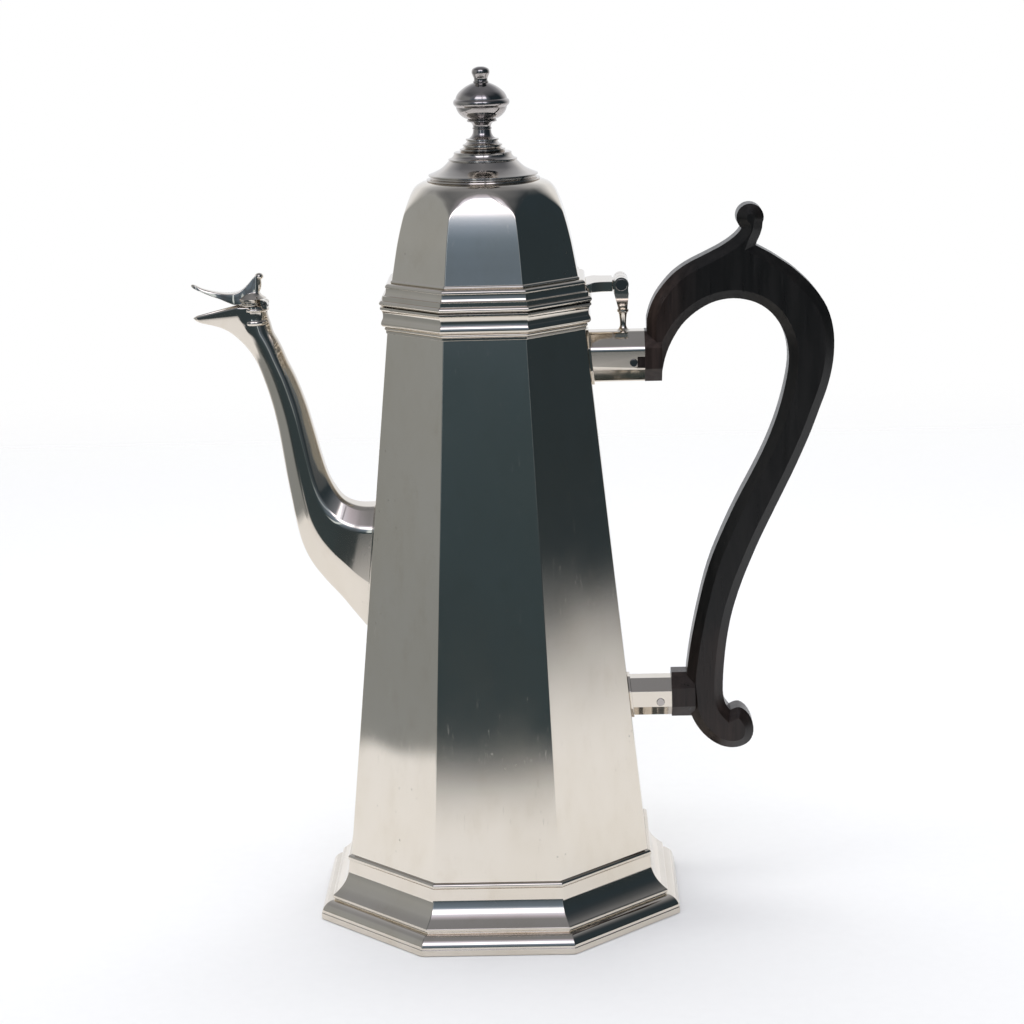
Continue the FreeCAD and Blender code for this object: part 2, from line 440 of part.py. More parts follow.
outline += smooth([(57.3, 70.1), (57.8, 73.9), (58.6, 79.0), (60.0, 86.2), (61.5, 92.8), (63.0, 98.7), (65.0, 104.9),
                   (67.7, 111.4), (70.7, 118.0), (73.8, 124.2), (76.9, 130.0), (79.9, 135.9), (82.5, 141.8), (84.6, 147.6),
                   (86.2, 153.2), (87.3, 158.2), (87.9, 162.4), (87.9, 166.0), (87.3, 169.6), (86.0, 173.0), (84.0, 176.2),
                   (81.5, 178.7), (78.5, 180.5), (75.3, 181.5), (72.0, 181.9), (68.6, 181.6), (65.4, 180.7), (62.3, 179.1),
                   (59.4, 177.0), (56.8, 174.4), (54.7, 171.3), (53.0, 168.0), (51.8, 164.6), (51.1, 161.4)])
outline += [(50.6, 159.6), (47.4, 159.6)]
inner = inset(outline, HANDLE_CH)
# where the outline turns tighter than the chamfer is wide, the inner edge folds
# back on itself; the folded stretches close to the corner of their neighbours
count = len(outline)


def folded(i):
    j = (i + 1) % count
    return ((inner[j][0] - inner[i][0]) * (outline[j][0] - outline[i][0])
            + (inner[j][1] - inner[i][1]) * (outline[j][1] - outline[i][1])) <= 1e-4


def corner(p, q, r, s):
    """Where the line through p and q meets the line through r and s."""
    ux, uz, wx, wz = q[0] - p[0], q[1] - p[1], s[0] - r[0], s[1] - r[1]
    t = ((r[0] - p[0]) * wz - (r[1] - p[1]) * wx) / (ux * wz - uz * wx)
    return (p[0] + t * ux, p[1] + t * uz)


for turn in range(6):
    runs = [i for i in range(count) if folded(i) and inner[i] != inner[(i + 1) % count]]
    if not runs:
        break
    i = runs[0]
    j = i
    while folded((j + 1) % count):
        j = (j + 1) % count
    while folded(i - 1):
        i -= 1
    a0, a1 = inner[i - 1], inner[i]
    b0, b1 = inner[(j + 1) % count], inner[(j + 2) % count]
    meet = corner(a0, a1, b0, b1)
    for k in range(i, (j if j >= i else j + count) + 2):
        inner[k % count] = meet
yl = [-HANDLE_T, -HANDLE_T + HANDLE_CY, HANDLE_T - HANDLE_CY, HANDLE_T]
faces = []
for s in (0, 3):
    m = 1 if s == 0 else 2
    for i in range(count):
        j = (i + 1) % count
        loop = [V(inner[i][0], yl[s], inner[i][1]), V(outline[i][0], yl[m], outline[i][1]), V(outline[j][0], yl[m], outline[j][1])]
        if inner[i] != inner[j]:
            loop.append(V(inner[j][0], yl[s], inner[j][1]))
        faces.append(Part.Face(Part.makePolygon(loop + [loop[0]])))
    ring = [V(p[0], yl[s], p[1]) for i, p in enumerate(inner) if p != inner[i - 1]]
    faces.append(Part.Face(Part.makePolygon(ring + [ring[0]])))
for i in range(count):
    j = (i + 1) % count
    loop = [V(outline[i][0], yl[1], outline[i][1]), V(outline[j][0], yl[1], outline[j][1]),
            V(outline[j][0], yl[2], outline[j][1]), V(outline[i][0], yl[2], outline[i][1])]
    faces.append(Part.Face(Part.makePolygon(loop + [loop[0]])))
limb = Part.Solid(Part.Shell(faces))
limb.fix(1e-6, 1e-6, 1e-6)
if limb.Volume < 0:
    limb.reverse()
handle = limb.fuse(oct_bar(UP_X, 50.9, UP_Z, UP_AP - 0.05))
handle = handle.fuse(oct_bar(UP_X - 12.5, UP_X, UP_Z, UP_AP - SOCKET_WALL - TENON_CLEAR))
handle = handle.fuse(oct_bar(LO_X, 59.6, 62.3, 6.85))
handle = handle.fuse(oct_bar(LO_X - 9.5, LO_X, LO_Z, LO_AP - SOCKET_WALL - TENON_CLEAR))
handle = handle.cut(ybar(UP_PIN[0], UP_PIN[1], UP_PIN[2] + 0.02, -12, 12))
handle = handle.cut(ybar(LO_PIN[0], LO_PIN[1], LO_PIN[2] + 0.02, -12, 12))
parts["handle"] = handle.removeSplitter()

# --------------------------------------------------------------------- export
os.makedirs("parts", exist_ok=True)
for name in sorted(parts):
    shp = parts[name]
    solids = shp.Solids
    if len(solids) == 1:
        shp = solids[0]
    bb = shp.BoundBox
    print("%-20s solids %d valid %s vol %9.1f  x %7.2f %7.2f  y %7.2f %7.2f  z %7.2f %7.2f" % (
        name, len(solids), shp.isValid(), shp.Volume, bb.XMin, bb.XMax, bb.YMin, bb.YMax, bb.ZMin, bb.ZMax))
    shp.exportStep("parts/%s.step" % name)
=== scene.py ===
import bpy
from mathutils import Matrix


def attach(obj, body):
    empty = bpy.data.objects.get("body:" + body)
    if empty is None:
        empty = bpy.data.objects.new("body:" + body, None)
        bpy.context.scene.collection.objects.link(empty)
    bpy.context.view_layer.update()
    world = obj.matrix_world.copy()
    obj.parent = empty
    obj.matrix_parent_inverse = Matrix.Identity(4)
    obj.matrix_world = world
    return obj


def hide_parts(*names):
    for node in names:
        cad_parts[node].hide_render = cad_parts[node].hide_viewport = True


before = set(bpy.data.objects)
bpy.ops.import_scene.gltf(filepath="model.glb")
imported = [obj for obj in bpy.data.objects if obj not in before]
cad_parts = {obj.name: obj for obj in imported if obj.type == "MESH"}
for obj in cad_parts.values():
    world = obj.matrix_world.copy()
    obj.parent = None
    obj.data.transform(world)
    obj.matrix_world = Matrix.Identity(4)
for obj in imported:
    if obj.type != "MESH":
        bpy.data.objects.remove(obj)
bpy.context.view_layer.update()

import math
import bpy
import bmesh
from mathutils import Matrix, Vector

MM = 0.001
COS8 = math.cos(math.pi / 8)

# ------------------------------------------------------------------ body shape
Z_LOW, A_LOW, Z_HIGH, A_HIGH = 19.0, 44.24, 175.0, 28.66
TAPER = (A_LOW - A_HIGH) / (Z_HIGH - Z_LOW)
WALL = 1.0
Z_FLOOR, Z_MOUTH = 13.0, 182.8
Z_LID, Z_DOME, Z_TOP = 183.2, 189.45, 217.7
HEAD_X = -68.2
ARRIS = 0.55          # radius along the body's arrises


def a_body(z):
    return A_LOW - TAPER * (z - Z_LOW)


# ------------------------------------------------------------------- materials
def ramp(nt, src, stops, name=None):
    n = nt.nodes.new("ShaderNodeValToRGB")
    e = n.color_ramp.elements
    while len(e) > 1:
        e.remove(e[-1])
    e[0].position, e[0].color = stops[0][0], (*stops[0][1], 1) if len(stops[0][1]) == 3 else stops[0][1]
    for p, c in stops[1:]:
        k = e.new(p)
        k.color = (*c, 1)
    nt.links.new(src, n.inputs[0])
    return n.outputs[0]


def grey(v):
    return (v, v, v)


def mapped(nt, coord, scale, rot=(0, 0, 0)):
    m = nt.nodes.new("ShaderNodeMapping")
    m.inputs["Scale"].default_value = scale
    m.inputs["Rotation"].default_value = rot
    nt.links.new(coord, m.inputs["Vector"])
    return m.outputs[0]


def noise(nt, vec, scale, detail=3.0, rough=0.5, dist=0.0):
    n = nt.nodes.new("ShaderNodeTexNoise")
    n.inputs["Scale"].default_value = scale
    n.inputs["Detail"].default_value = detail
    n.inputs["Roughness"].default_value = rough
    n.inputs["Distortion"].default_value = dist
    nt.links.new(vec, n.inputs["Vector"])
    return n.outputs[0]


def mix_rgb(nt, fac, a, b, kind="MIX"):
    n = nt.nodes.new("ShaderNodeMix")
    n.data_type = "RGBA"
    n.blend_type = kind
    for sock, v in ((n.inputs[0], fac), (n.inputs[6], a), (n.inputs[7], b)):
        if hasattr(v, "links"):
            nt.links.new(v, sock)
        elif isinstance(v, (int, float)):
            sock.default_value = v
        else:
            sock.default_value = (*v, 1)
    return n.outputs[2]


def math_node(nt, op, a, b=None, clamp=False):
    n = nt.nodes.new("ShaderNodeMath")
    n.operation = op
    n.use_clamp = clamp
    for sock, v in ((n.inputs[0], a), (n.inputs[1], b)):
        if v is None:
            continue
        if hasattr(v, "links"):
            nt.links.new(v, sock)
        else:
            sock.default_value = v
    return n.outputs[0]


def map_range(nt, v, a, b, lo=0.0, hi=1.0, kind="SMOOTHSTEP"):
    n = nt.nodes.new("ShaderNodeMapRange")
    n.interpolation_type = kind
    nt.links.new(v, n.inputs[0])
    for i, x in zip((1, 2, 3, 4), (a, b, lo, hi)):
        n.inputs[i].default_value = x
    return n.outputs[0]


def bump(nt, height, dist, strength=1.0, normal=None):
    n = nt.nodes.new("ShaderNodeBump")
    n.inputs["Strength"].default_value = strength
    n.inputs["Distance"].default_value = dist
    nt.links.new(height, n.inputs["Height"])
    if normal is not None:
        nt.links.new(normal, n.inputs["Normal"])
    return n.outputs[0]


def silver(name, wave=0.10, brush=0.5, base=0.05, lines_rot=(0, 0, 0), tint=(0.76, 0.705, 0.625), dull_inside=False):
    m = bpy.data.materials.new(name)
    m.use_nodes = True
    nt = m.node_tree
    p = nt.nodes["Principled BSDF"]
    p.inputs["Metallic"].default_value = 1.0
    co = nt.nodes.new("ShaderNodeTexCoord").outputs["Object"]
    # handling haze and a breath of tarnish
    haze = noise(nt, mapped(nt, co, (38, 38, 24)), 1.0, 4, 0.6)
    dull = noise(nt, mapped(nt, co, (150, 150, 90)), 1.0, 4, 0.65)
    # fine polishing scratches, long along the piece, and a second crossing set
    s1 = noise(nt, mapped(nt, co, (2600, 2600, 60), lines_rot), 1.0, 2, 0.6)
    s2 = noise(nt, mapped(nt, co, (1500, 1500, 45), (lines_rot[0] + 0.35, lines_rot[1] + 0.28, 0.2)), 1.0, 1, 0.5)
    m1 = map_range(nt, s1, 0.66, 0.78)
    m2 = map_range(nt, s2, 0.70, 0.80)
    sc = math_node(nt, "MAXIMUM", m1, math_node(nt, "MULTIPLY", m2, 0.7))
    # specks of tarnish, gathered in patches
    v = nt.nodes.new("ShaderNodeTexVoronoi")
    v.inputs["Scale"].default_value = 330
    nt.links.new(co, v.inputs["Vector"])
    spot = map_range(nt, v.outputs["Distance"], 0.05, 0.17, 1.0, 0.0)
    patch = map_range(nt, noise(nt, mapped(nt, co, (46, 46, 30)), 1.0, 2, 0.5), 0.57, 0.72)
    specks = math_node(nt, "MULTIPLY", spot, patch)
    tone = mix_rgb(nt, map_range(nt, haze, 0.35, 0.72), tint, (tint[0] * 0.955, tint[1] * 0.945, tint[2] * 0.92))
    tone = mix_rgb(nt, map_range(nt, dull, 0.50, 0.78, 0.0, 0.35), tone, (tint[0] * 0.86, tint[1] * 0.83, tint[2] * 0.78))
    tone = mix_rgb(nt, math_node(nt, "MULTIPLY", specks, 0.55), tone, (0.36, 0.33, 0.29))
    nt.links.new(tone, p.inputs["Base Color"])
    r = map_range(nt, haze, 0.3, 0.75, base, base + 0.045)
    r = math_node(nt, "ADD", r, math_node(nt, "MULTIPLY", sc, 0.16 * brush))
    r = math_node(nt, "ADD", r, math_node(nt, "MULTIPLY", specks, 0.25))
    if dull_inside:
        # the inside of the barrel was never polished: a whitish, satin skin
        sp = nt.nodes.new("ShaderNodeSeparateXYZ")
        nt.links.new(co, sp.inputs[0])
        x, y, z = sp.outputs
        c = math.sqrt(0.5)
        m1 = math_node(nt, "ABSOLUTE", math_node(nt, "MULTIPLY", math_node(nt, "ADD", x, y), c))
        m2 = math_node(nt, "ABSOLUTE", math_node(nt, "MULTIPLY", math_node(nt, "SUBTRACT", x, y), c))
        far = math_node(nt, "MAXIMUM", math_node(nt, "MAXIMUM", math_node(nt, "ABSOLUTE", x), math_node(nt, "ABSOLUTE", y)),
                        math_node(nt, "MAXIMUM", m1, m2))
        wall = math_node(nt, "ADD", math_node(nt, "MULTIPLY", z, -TAPER), (A_LOW + TAPER * Z_LOW - 0.5 * WALL) * MM)
        inner = map_range(nt, math_node(nt, "SUBTRACT", wall, far), 0.0, 0.0002)
        nt.links.new(math_node(nt, "SUBTRACT", 1.0, math_node(nt, "MULTIPLY", inner, 0.72)), p.inputs["Metallic"])
        r = math_node(nt, "ADD", r, math_node(nt, "MULTIPLY", inner, 0.36))
    nt.links.new(r, p.inputs["Roughness"])
    # hand-raised metal: slow waves in the sheet, then hairline scratches
    w = noise(nt, mapped(nt, co, (30, 30, 17)), 1.0, 1, 0.4)
    n1 = bump(nt, w, wave * 0.001, 1.0)
    n2 = bump(nt, math_node(nt, "ADD", sc, math_node(nt, "MULTIPLY", s1, 0.25)), 0.0000028 * brush, 1.0, n1)
    nt.links.new(n2, p.inputs["Normal"])
    return m


def ebony(name):
    m = bpy.data.materials.new(name)
    m.use_nodes = True
    nt = m.node_tree
    p = nt.nodes["Principled BSDF"]
    p.inputs["IOR"].default_value = 1.38
    p.inputs["Coat Weight"].default_value = 0.04
    p.inputs["Coat Roughness"].default_value = 0.12
    co = nt.nodes.new("ShaderNodeTexCoord").outputs["Object"]
    # grain runs up the handle
    g1 = noise(nt, mapped(nt, co, (520, 900, 36), (0, 0.22, 0)), 1.0, 5, 0.62, 0.4)
    g2 = noise(nt, mapped(nt, co, (1900, 2600, 120), (0, 0.22, 0)), 1.0, 3, 0.6)
    big = noise(nt, mapped(nt, co, (60, 80, 22), (0, 0.2, 0)), 1.0, 3, 0.5)
    dark = mix_rgb(nt, map_range(nt, g1, 0.38, 0.66), (0.0078, 0.0074, 0.0070), (0.0112, 0.0103, 0.0095))
    brown = mix_rgb(nt, map_range(nt, g1, 0.36, 0.68), (0.024, 0.0150, 0.0120), (0.044, 0.0280, 0.0230))
    sep = nt.nodes.new("ShaderNodeSeparateXYZ")
    nt.links.new(co, sep.inputs[0])
    # the wood is browner and lighter towards the body, by the two sockets, and towards the lower end
    near = map_range(nt, sep.outputs[0], 0.047, 0.064, 1.0, 0.0)
    low = math_node(nt, "MULTIPLY", map_range(nt, sep.outputs[2], 0.074, 0.088, 1.0, 0.0), map_range(nt, sep.outputs[0], 0.062, 0.085, 0.9, 0.45))
    near = math_node(nt, "MAXIMUM", near, low)
    mixf = math_node(nt, "MULTIPLY", near, map_range(nt, big, 0.30, 0.62, 0.45, 1.0))
    streak = map_range(nt, big, 0.60, 0.74, 0.0, 0.15)
    f = math_node(nt, "MAXIMUM", mixf, streak)
    tone = mix_rgb(nt, f, dark, brown)
    pores = map_range(nt, g2, 0.60, 0.70)
    tone = mix_rgb(nt, math_node(nt, "MULTIPLY", pores, 0.6), tone, (0.006, 0.005, 0.005))
    nt.links.new(tone, p.inputs["Base Color"])
    r = map_range(nt, g1, 0.3, 0.7, 0.27, 0.38)
    r = math_node(nt, "ADD", r, math_node(nt, "MULTIPLY", pores, 0.12))
    nt.links.new(r, p.inputs["Roughness"])
    h = math_node(nt, "SUBTRACT", math_node(nt, "MULTIPLY", g1, 0.5), math_node(nt, "MULTIPLY", pores, 0.6))
    nt.links.new(bump(nt, h, 0.00003, 0.8), p.inputs["Normal"])
    return m


SHEET = silver("silver_sheet", wave=0.30, brush=0.7, base=0.055)
BARREL = silver("silver_barrel", wave=0.55, brush=0.8, base=0.055, dull_inside=True)
CAST = silver("silver_cast", wave=0.04, brush=0.3, base=0.05, tint=(0.74, 0.68, 0.60))
TURNED = silver("silver_turned", wave=0.0, brush=0.2, base=0.045, tint=(0.44, 0.41, 0.395))
SEAT = silver("silver_seat", wave=0.0, brush=0.2, base=0.05, tint=(0.60, 0.56, 0.52))
WOOD = ebony("blackened_wood")


# ------------------------------------------------------------- profile helpers
def spline(pts, sub):
    """Smooth run through points, cubic with finite-difference tangents by chord length."""
    n = len(pts)
    if n < 3:
        return [pts[0], pts[-1]]
    k = len(pts[0])
    t = [0.0]
    for a, b in zip(pts, pts[1:]):
        t.append(t[-1] + math.dist(a, b))
    tan = []
    for i in range(n):
        if i == 0 or i == n - 1:
            j = 0 if i == 0 else n - 2
            tan.append([(pts[j + 1][c] - pts[j][c]) / (t[j + 1] - t[j]) for c in range(k)])
        else:
            h0, h1 = t[i] - t[i - 1], t[i + 1] - t[i]
            tan.append([((pts[i][c] - pts[i - 1][c]) / h0 * h1 + (pts[i + 1][c] - pts[i][c]) / h1 * h0) / (h0 + h1)
                        for c in range(k)])
    for i, j in ((0, 1), (n - 1, n - 2)):
        tan[i] = [2 * tan[i][c] - tan[j][c] for c in range(k)]
    out = []
    for i in range(n - 1):
        h = t[i + 1] - t[i]
        for q in range(sub):
            s = q / sub
            a, b = 2 * s ** 3 - 3 * s ** 2 + 1, s ** 3 - 2 * s ** 2 + s
            c_, d = -2 * s ** 3 + 3 * s ** 2, s ** 3 - s ** 2
            out.append(tuple(a * pts[i][c] + b * h * tan[i][c] + c_ * pts[i + 1][c] + d * h * tan[i + 1][c] for c in range(k)))
    out.append(tuple(pts[-1]))
    return out


def trace(profile, sub=5):
    """("M"|"L", point) and ("S", points) to a run of points with corner flags."""
    pts, corner = [tuple(profile[0][1])], [True]
    for kind, p in profile[1:]:
        if kind == "L":
            pts.append(tuple(p))
            corner.append(True)
        else:
            run = spline([pts[-1]] + [tuple(q) for q in p], sub)[1:]
            pts += run
            corner += [False] * (len(run) - 1) + [True]
    return pts, corner


def eased(pts, corner, r, closed=True, seg=3):
    """Rounds the corners of a run with short arcs, so that every edge has a real radius."""
    n = len(pts)
    out = []
    for i in range(n):
        if not closed and i in (0, n - 1):
            out.append(pts[i])
            continue
        p0, p1, p2 = Vector(pts[i - 1][:2]), Vector(pts[i][:2]), Vector(pts[(i + 1) % n][:2])
        u, w = p1 - p0, p2 - p1
        lu, lw = u.length, w.length
        if not corner[i] or lu < 1e-9 or lw < 1e-9 or u.angle(w) < math.radians(14):
            out.append(pts[i])
            continue
        t = min(r * math.tan(u.angle(w) / 2), 0.42 * lu, 0.42 * lw)
        a, b = p1 - u / lu * t, p1 + w / lw * t
        extra = tuple(pts[i][2:])
        for k in range(seg + 1):
            s = k / seg
            q = a * (1 - s) ** 2 + p1 * 2 * s * (1 - s) + b * s * s
            out.append((q.x, q.y) + extra)
    return out


def build(name, verts, faces, normals, mat, body, nodes=()):
    me = bpy.data.meshes.new(name)
    me.from_pydata([(v[0] * MM, v[1] * MM, v[2] * MM) for v in verts], [], faces)
    for p in me.polygons:
        p.use_smooth = True
    if normals:
        me.normals_split_custom_set([tuple(Vector(nn).normalized()) for nn in normals])
    me.update()
    me.materials.append(mat)
    o = bpy.data.objects.new(name, me)
    bpy.context.scene.collection.objects.link(o)
    if body:
        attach(o, body)
    if nodes:
        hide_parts(*nodes)
    return o


def swept(name, pts, mat, body, nodes=(), octagon=True, closed=True, seg=72, arcs=5, origin=(0.0, 0.0)):
    """Sweeps (a, z, r) round the axis: a rounded octagon of apothem a and corner
    radius r, or a circle. Normals are exact on the flats and smooth round the arcs."""
    area = sum(p[0] * q[1] - q[0] * p[1] for p, q in zip(pts, pts[1:] + pts[:1]))
    if closed and area < 0:
        pts = pts[::-1]
    n = len(pts)
    ring = []
    if octagon:
        for k in range(8):
            c = math.radians(22.5 + 45 * k)
            for j in range(arcs):
                th = c - math.pi / 8 + math.pi / 4 * j / (arcs - 1)
                ring.append((th, c))
    else:
        ring = [(2 * math.pi * j / seg, None) for j in range(seg)]
    m = len(ring)

    def place(p, g):
        a, z = p[0], p[1]
        th, c = g
        if c is None:
            return (origin[0] + a * math.cos(th), origin[1] + a * math.sin(th), z)
        r = min(p[2] if len(p) > 2 else ARRIS, 0.995 * a)
        R = (a - r) / COS8
        return (R * math.cos(c) + r * math.cos(th), R * math.sin(c) + r * math.sin(th), z)

    def support(p, g):
        a = p[0]
        th, c = g
        if c is None:
            return a
        r = min(p[2] if len(p) > 2 else ARRIS, 0.995 * a)
        return (a - r) * math.cos(th - c) / COS8 + r

    segs = n if closed else n - 1
    on_axis = [p[0] < 1e-6 for p in pts]
    sn = []
    for i in range(segs):
        p, q = pts[i], pts[(i + 1) % n]
        row = []
        for g in ring:
            dh, dz = support(q, g) - support(p, g), q[1] - p[1]
            L = math.hypot(dh, dz)
            row.append((dz / L, -dh / L, L) if L > 1e-9 else (1.0, 0.0, 0.0))
        sn.append(row)
    pn = []
    for i in range(n):
        row = []
        prev = sn[i - 1] if closed or i else None
        nxt = sn[i] if closed or i < n - 1 else None
        for j, (th, c) in enumerate(ring):
            a, b, w = 0.0, 0.0, 0.0
            for s in (prev, nxt):
                if s:
                    k = s[j][2] + 1e-9
                    a, b = a + s[j][0] * k, b + s[j][1] * k
            L = math.hypot(a, b) or 1.0
            row.append((a / L * math.cos(th), a / L * math.sin(th), b / L))
        pn.append(row)
    verts, idx = [], []
    for i, p in enumerate(pts):
        if on_axis[i]:
            idx.append([len(verts)] * m)
            verts.append((origin[0], origin[1], p[1]))
        else:
            idx.append(list(range(len(verts), len(verts) + m)))
            verts += [place(p, g) for g in ring]
    faces, normals = [], []
    for i in range(segs):
        i2 = (i + 1) % n
        for j in range(m):
            j2 = (j + 1) % m
            loop = [(i, j), (i, j2), (i2, j2), (i2, j)]
            ids = [idx[a][b] for a, b in loop]
            keep = [k for k in range(4) if ids[k] not in ids[:k]]
            if len(keep) < 3:
                continue
            faces.append([ids[k] for k in keep])
            for k in keep:
                a, b = loop[k]
                nn = pn[a][b]
                if on_axis[a]:
                    nn = (0.0, 0.0, 1.0 if pn[a][b][2] > 0 else -1.0)
                normals.append(nn)
    return build(name, verts, faces, normals, mat, body, nodes)


def moulding(name, profile, mat, body, nodes, ease=0.1, octagon=True, seg=96, sub=5, corner_r=ARRIS, origin=(0.0, 0.0)):
    pts, corner = trace(profile, sub)
    if math.dist(pts[0], pts[-1]) < 1e-9:
        pts, corner = pts[:-1], corner[:-1]
    pts = [(p[0], p[1], corner_r) for p in eased(pts, corner, ease)]
    return swept(name, pts, mat, body, nodes, octagon=octagon, seg=seg, origin=origin)


def loops_normals(me, pick):
    """Custom normals from pick(point, face normal) in millimetres."""
    out = []
    for p in me.polygons:
        for li in p.loop_indices:
            v = me.vertices[me.loops[li].vertex_index].co
            out.append(tuple(pick(v / MM, p.normal).normalized()))
    me.normals_split_custom_set(out)


def refine_node(name, node, mat, body, width=0.12, seg=2, angle=28, dissolve=0.6, weighted=True, long_x=0.0, lean=0.0):
    """A finished copy of a CAD node: welded, its flats merged and its edges eased.
    long_x is a larger radius for the long outside arrises that run along x."""
    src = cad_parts[node]
    me = src.data.copy()
    me.transform(src.matrix_world)
    bm = bmesh.new()
    bm.from_mesh(me)
    bmesh.ops.remove_doubles(bm, verts=bm.verts, dist=2e-6)
    bmesh.ops.dissolve_limit(bm, angle_limit=math.radians(dissolve), verts=bm.verts, edges=bm.edges, delimit={"NORMAL"})
    bm.normal_update()
    if long_x:
        ys = max(v.co.y for v in bm.verts)
        pick = []
        for e in bm.edges:
            d = e.verts[1].co - e.verts[0].co
            if len(e.link_faces) == 2 and d.length > 3 * MM and abs(d.x) > 0.9 * d.length and e.is_convex \
                    and math.radians(20) < e.calc_face_angle() < math.radians(70) and max(abs(v.co.y) for v in e.verts) > 0.3 * ys:
                pick.append(e)
        bmesh.ops.bevel(bm, geom=pick, offset=long_x * MM, offset_type="OFFSET", segments=5, profile=0.5, affect="EDGES",
                        clamp_overlap=False, miter_outer="SHARP", miter_inner="SHARP")
        top = max(v.co.z for v in bm.verts if abs(v.co.y) > 0.985 * ys)
        for v in bm.verts:
            if abs(v.co.y) > 0.86 * ys and v.co.z < top:
                v.co.y -= math.copysign(math.tan(math.radians(lean)) * (top - v.co.z), v.co.y)
        bm.normal_update()
    for f in bm.faces:
        f.smooth = True
    bm.to_mesh(me)
    bm.free()
    me.materials.clear()
    me.materials.append(mat)
    o = bpy.data.objects.new(name, me)
    bpy.context.scene.collection.objects.link(o)
    if width:
        b = o.modifiers.new("ease", "BEVEL")
        b.width = width * MM
        b.segments = seg
        b.limit_method = "ANGLE"
        b.angle_limit = math.radians(angle)
        b.use_clamp_overlap = True
        b.harden_normals = False
        b.miter_outer = "MITER_ARC"
    me.set_sharp_from_angle(angle=math.radians(50))
    if weighted:
        w = o.modifiers.new("shade", "WEIGHTED_NORMAL")
        w.keep_sharp = True
        w.weight = 60
    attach(o, body)
    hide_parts(node)
    return o


# -------------------------------------------------------------------- the body
outer = [(a_body(z), z, ARRIS) for z in (Z_FLOOR, 40, 70, 100, 130, 160, Z_MOUTH - 0.25)]
body_pts = outer + [(a_body(Z_MOUTH) - 0.22, Z_MOUTH, ARRIS), (a_body(Z_MOUTH) - WALL + 0.15, Z_MOUTH, 0.3),
                    (a_body(Z_MOUTH) - WALL, Z_MOUTH - 0.2, 0.3), (a_body(Z_FLOOR) - WALL, Z_FLOOR, 0.3)]
body = swept("body_octagon", body_pts, BARREL, "pot", ["body_shell"], arcs=7)

# strainer holes through the wall behind the spout
cut_bm = bmesh.new()
for row in range(7):
    zc = 92.5 + 3.6 * row
    n_in_row = 3 if row % 2 == 0 else 2
    for k in range(n_in_row):
        yc = (k - (n_in_row - 1) / 2.0) * 4.2
        rings = []
        for x in (-44.0, -30.0):
            rings.append([cut_bm.verts.new((x * MM, (yc + 1.1 * math.cos(t)) * MM, (zc + 1.1 * math.sin(t)) * MM))
                          for t in [2 * math.pi * q / 24 for q in range(24)]])
        for q in range(24):
            cut_bm.faces.new((rings[0][q], rings[0][(q + 1) % 24], rings[1][(q + 1) % 24], rings[1][q]))
        cut_bm.faces.new(rings[0][::-1])
        cut_bm.faces.new(rings[1])
bmesh.ops.recalc_face_normals(cut_bm, faces=cut_bm.faces)
cut_me = bpy.data.meshes.new("holes_tool")
cut_bm.to_mesh(cut_me)
cut_bm.free()
cut_o = bpy.data.objects.new("holes_tool", cut_me)
bpy.context.scene.collection.objects.link(cut_o)
mod = body.modifiers.new("holes", "BOOLEAN")
mod.operation = "DIFFERENCE"
mod.solver = "EXACT"
mod.object = cut_o
dg = bpy.context.evaluated_depsgraph_get()
drilled = bpy.data.meshes.new_from_object(body.evaluated_get(dg))
body.modifiers.clear()
drilled.materials.clear()
drilled.materials.append(BARREL)
for p in drilled.polygons:
    p.use_smooth = True
body.data = drilled
bpy.data.objects.remove(cut_o)


def body_normal(v, fn):
    th = math.atan2(v.y, v.x)
    c = math.radians(22.5 + 45 * round((math.degrees(th) - 22.5) / 45))
    r = ARRIS
    R = math.hypot(v.x, v.y)
    inside = R * max(math.cos(th - math.radians(45 * round(math.degrees(th) / 45))), 0.0) < a_body(v.z) - 0.5
    if inside:
        r = 0.3
        a = a_body(v.z) - WALL
    else:
        a = a_body(v.z)
    centre = Vector(((a - r) / COS8 * math.cos(c), (a - r) / COS8 * math.sin(c)))
    d = Vector((v.x, v.y)) - centre
    ang = (math.atan2(d.y, d.x) - c + math.pi) % (2 * math.pi) - math.pi
    ang = max(-math.pi / 8, min(math.pi / 8, ang))
    h = TAPER
    n = Vector((math.cos(c + ang), math.sin(c + ang), h))
    if inside:
        n = -n
    n.normalize()
    return n if n.dot(fn) > 0.9 else fn


loops_normals(body.data, body_normal)

swept("base_disc", [(a_body(13) - 1.0, 13.0, 0.3), (a_body(14.2) - 1.0, 14.2, 0.3), (0.0, 14.2), (0.0, 13.0)], SHEET, "pot",
      ["base_plate"])

moulding("foot_ring", [
    ("M", (51.9, 0.0)), ("L", (53.6, 0.0)), ("L", (53.6, 1.8)), ("L", (53.42, 1.92)),
    ("S", [(53.2, 3.0), (52.5, 4.15), (51.35, 5.05), (49.95, 5.5)]),
    ("L", (49.7, 5.55)), ("L", (49.7, 5.95)), ("L", (50.1, 6.1)), ("L", (50.12, 6.85)), ("L", (49.95, 7.05)),
    ("S", [(48.1, 8.6), (46.95, 9.9), (46.15, 11.2), (45.6, 12.6), (45.28, 13.9)]),
    ("L", (44.95, 17.15)), ("L", (45.12, 17.25)),
    ("S", [(45.32, 17.7), (45.3, 18.25), (44.95, 18.7)]),
    ("L", (44.6, 18.8)), ("L", (a_body(19.0) - 0.02, 19.0)), ("L", (a_body(13.0) - 0.02, 13.0)),
    ("L", (44.65, 12.0)), ("S", [(45.55, 9.6), (47.95, 6.3), (50.5, 3.6), (51.9, 1.8)])],
    CAST, "pot", ["foot_moulding"], ease=0.16, sub=6)

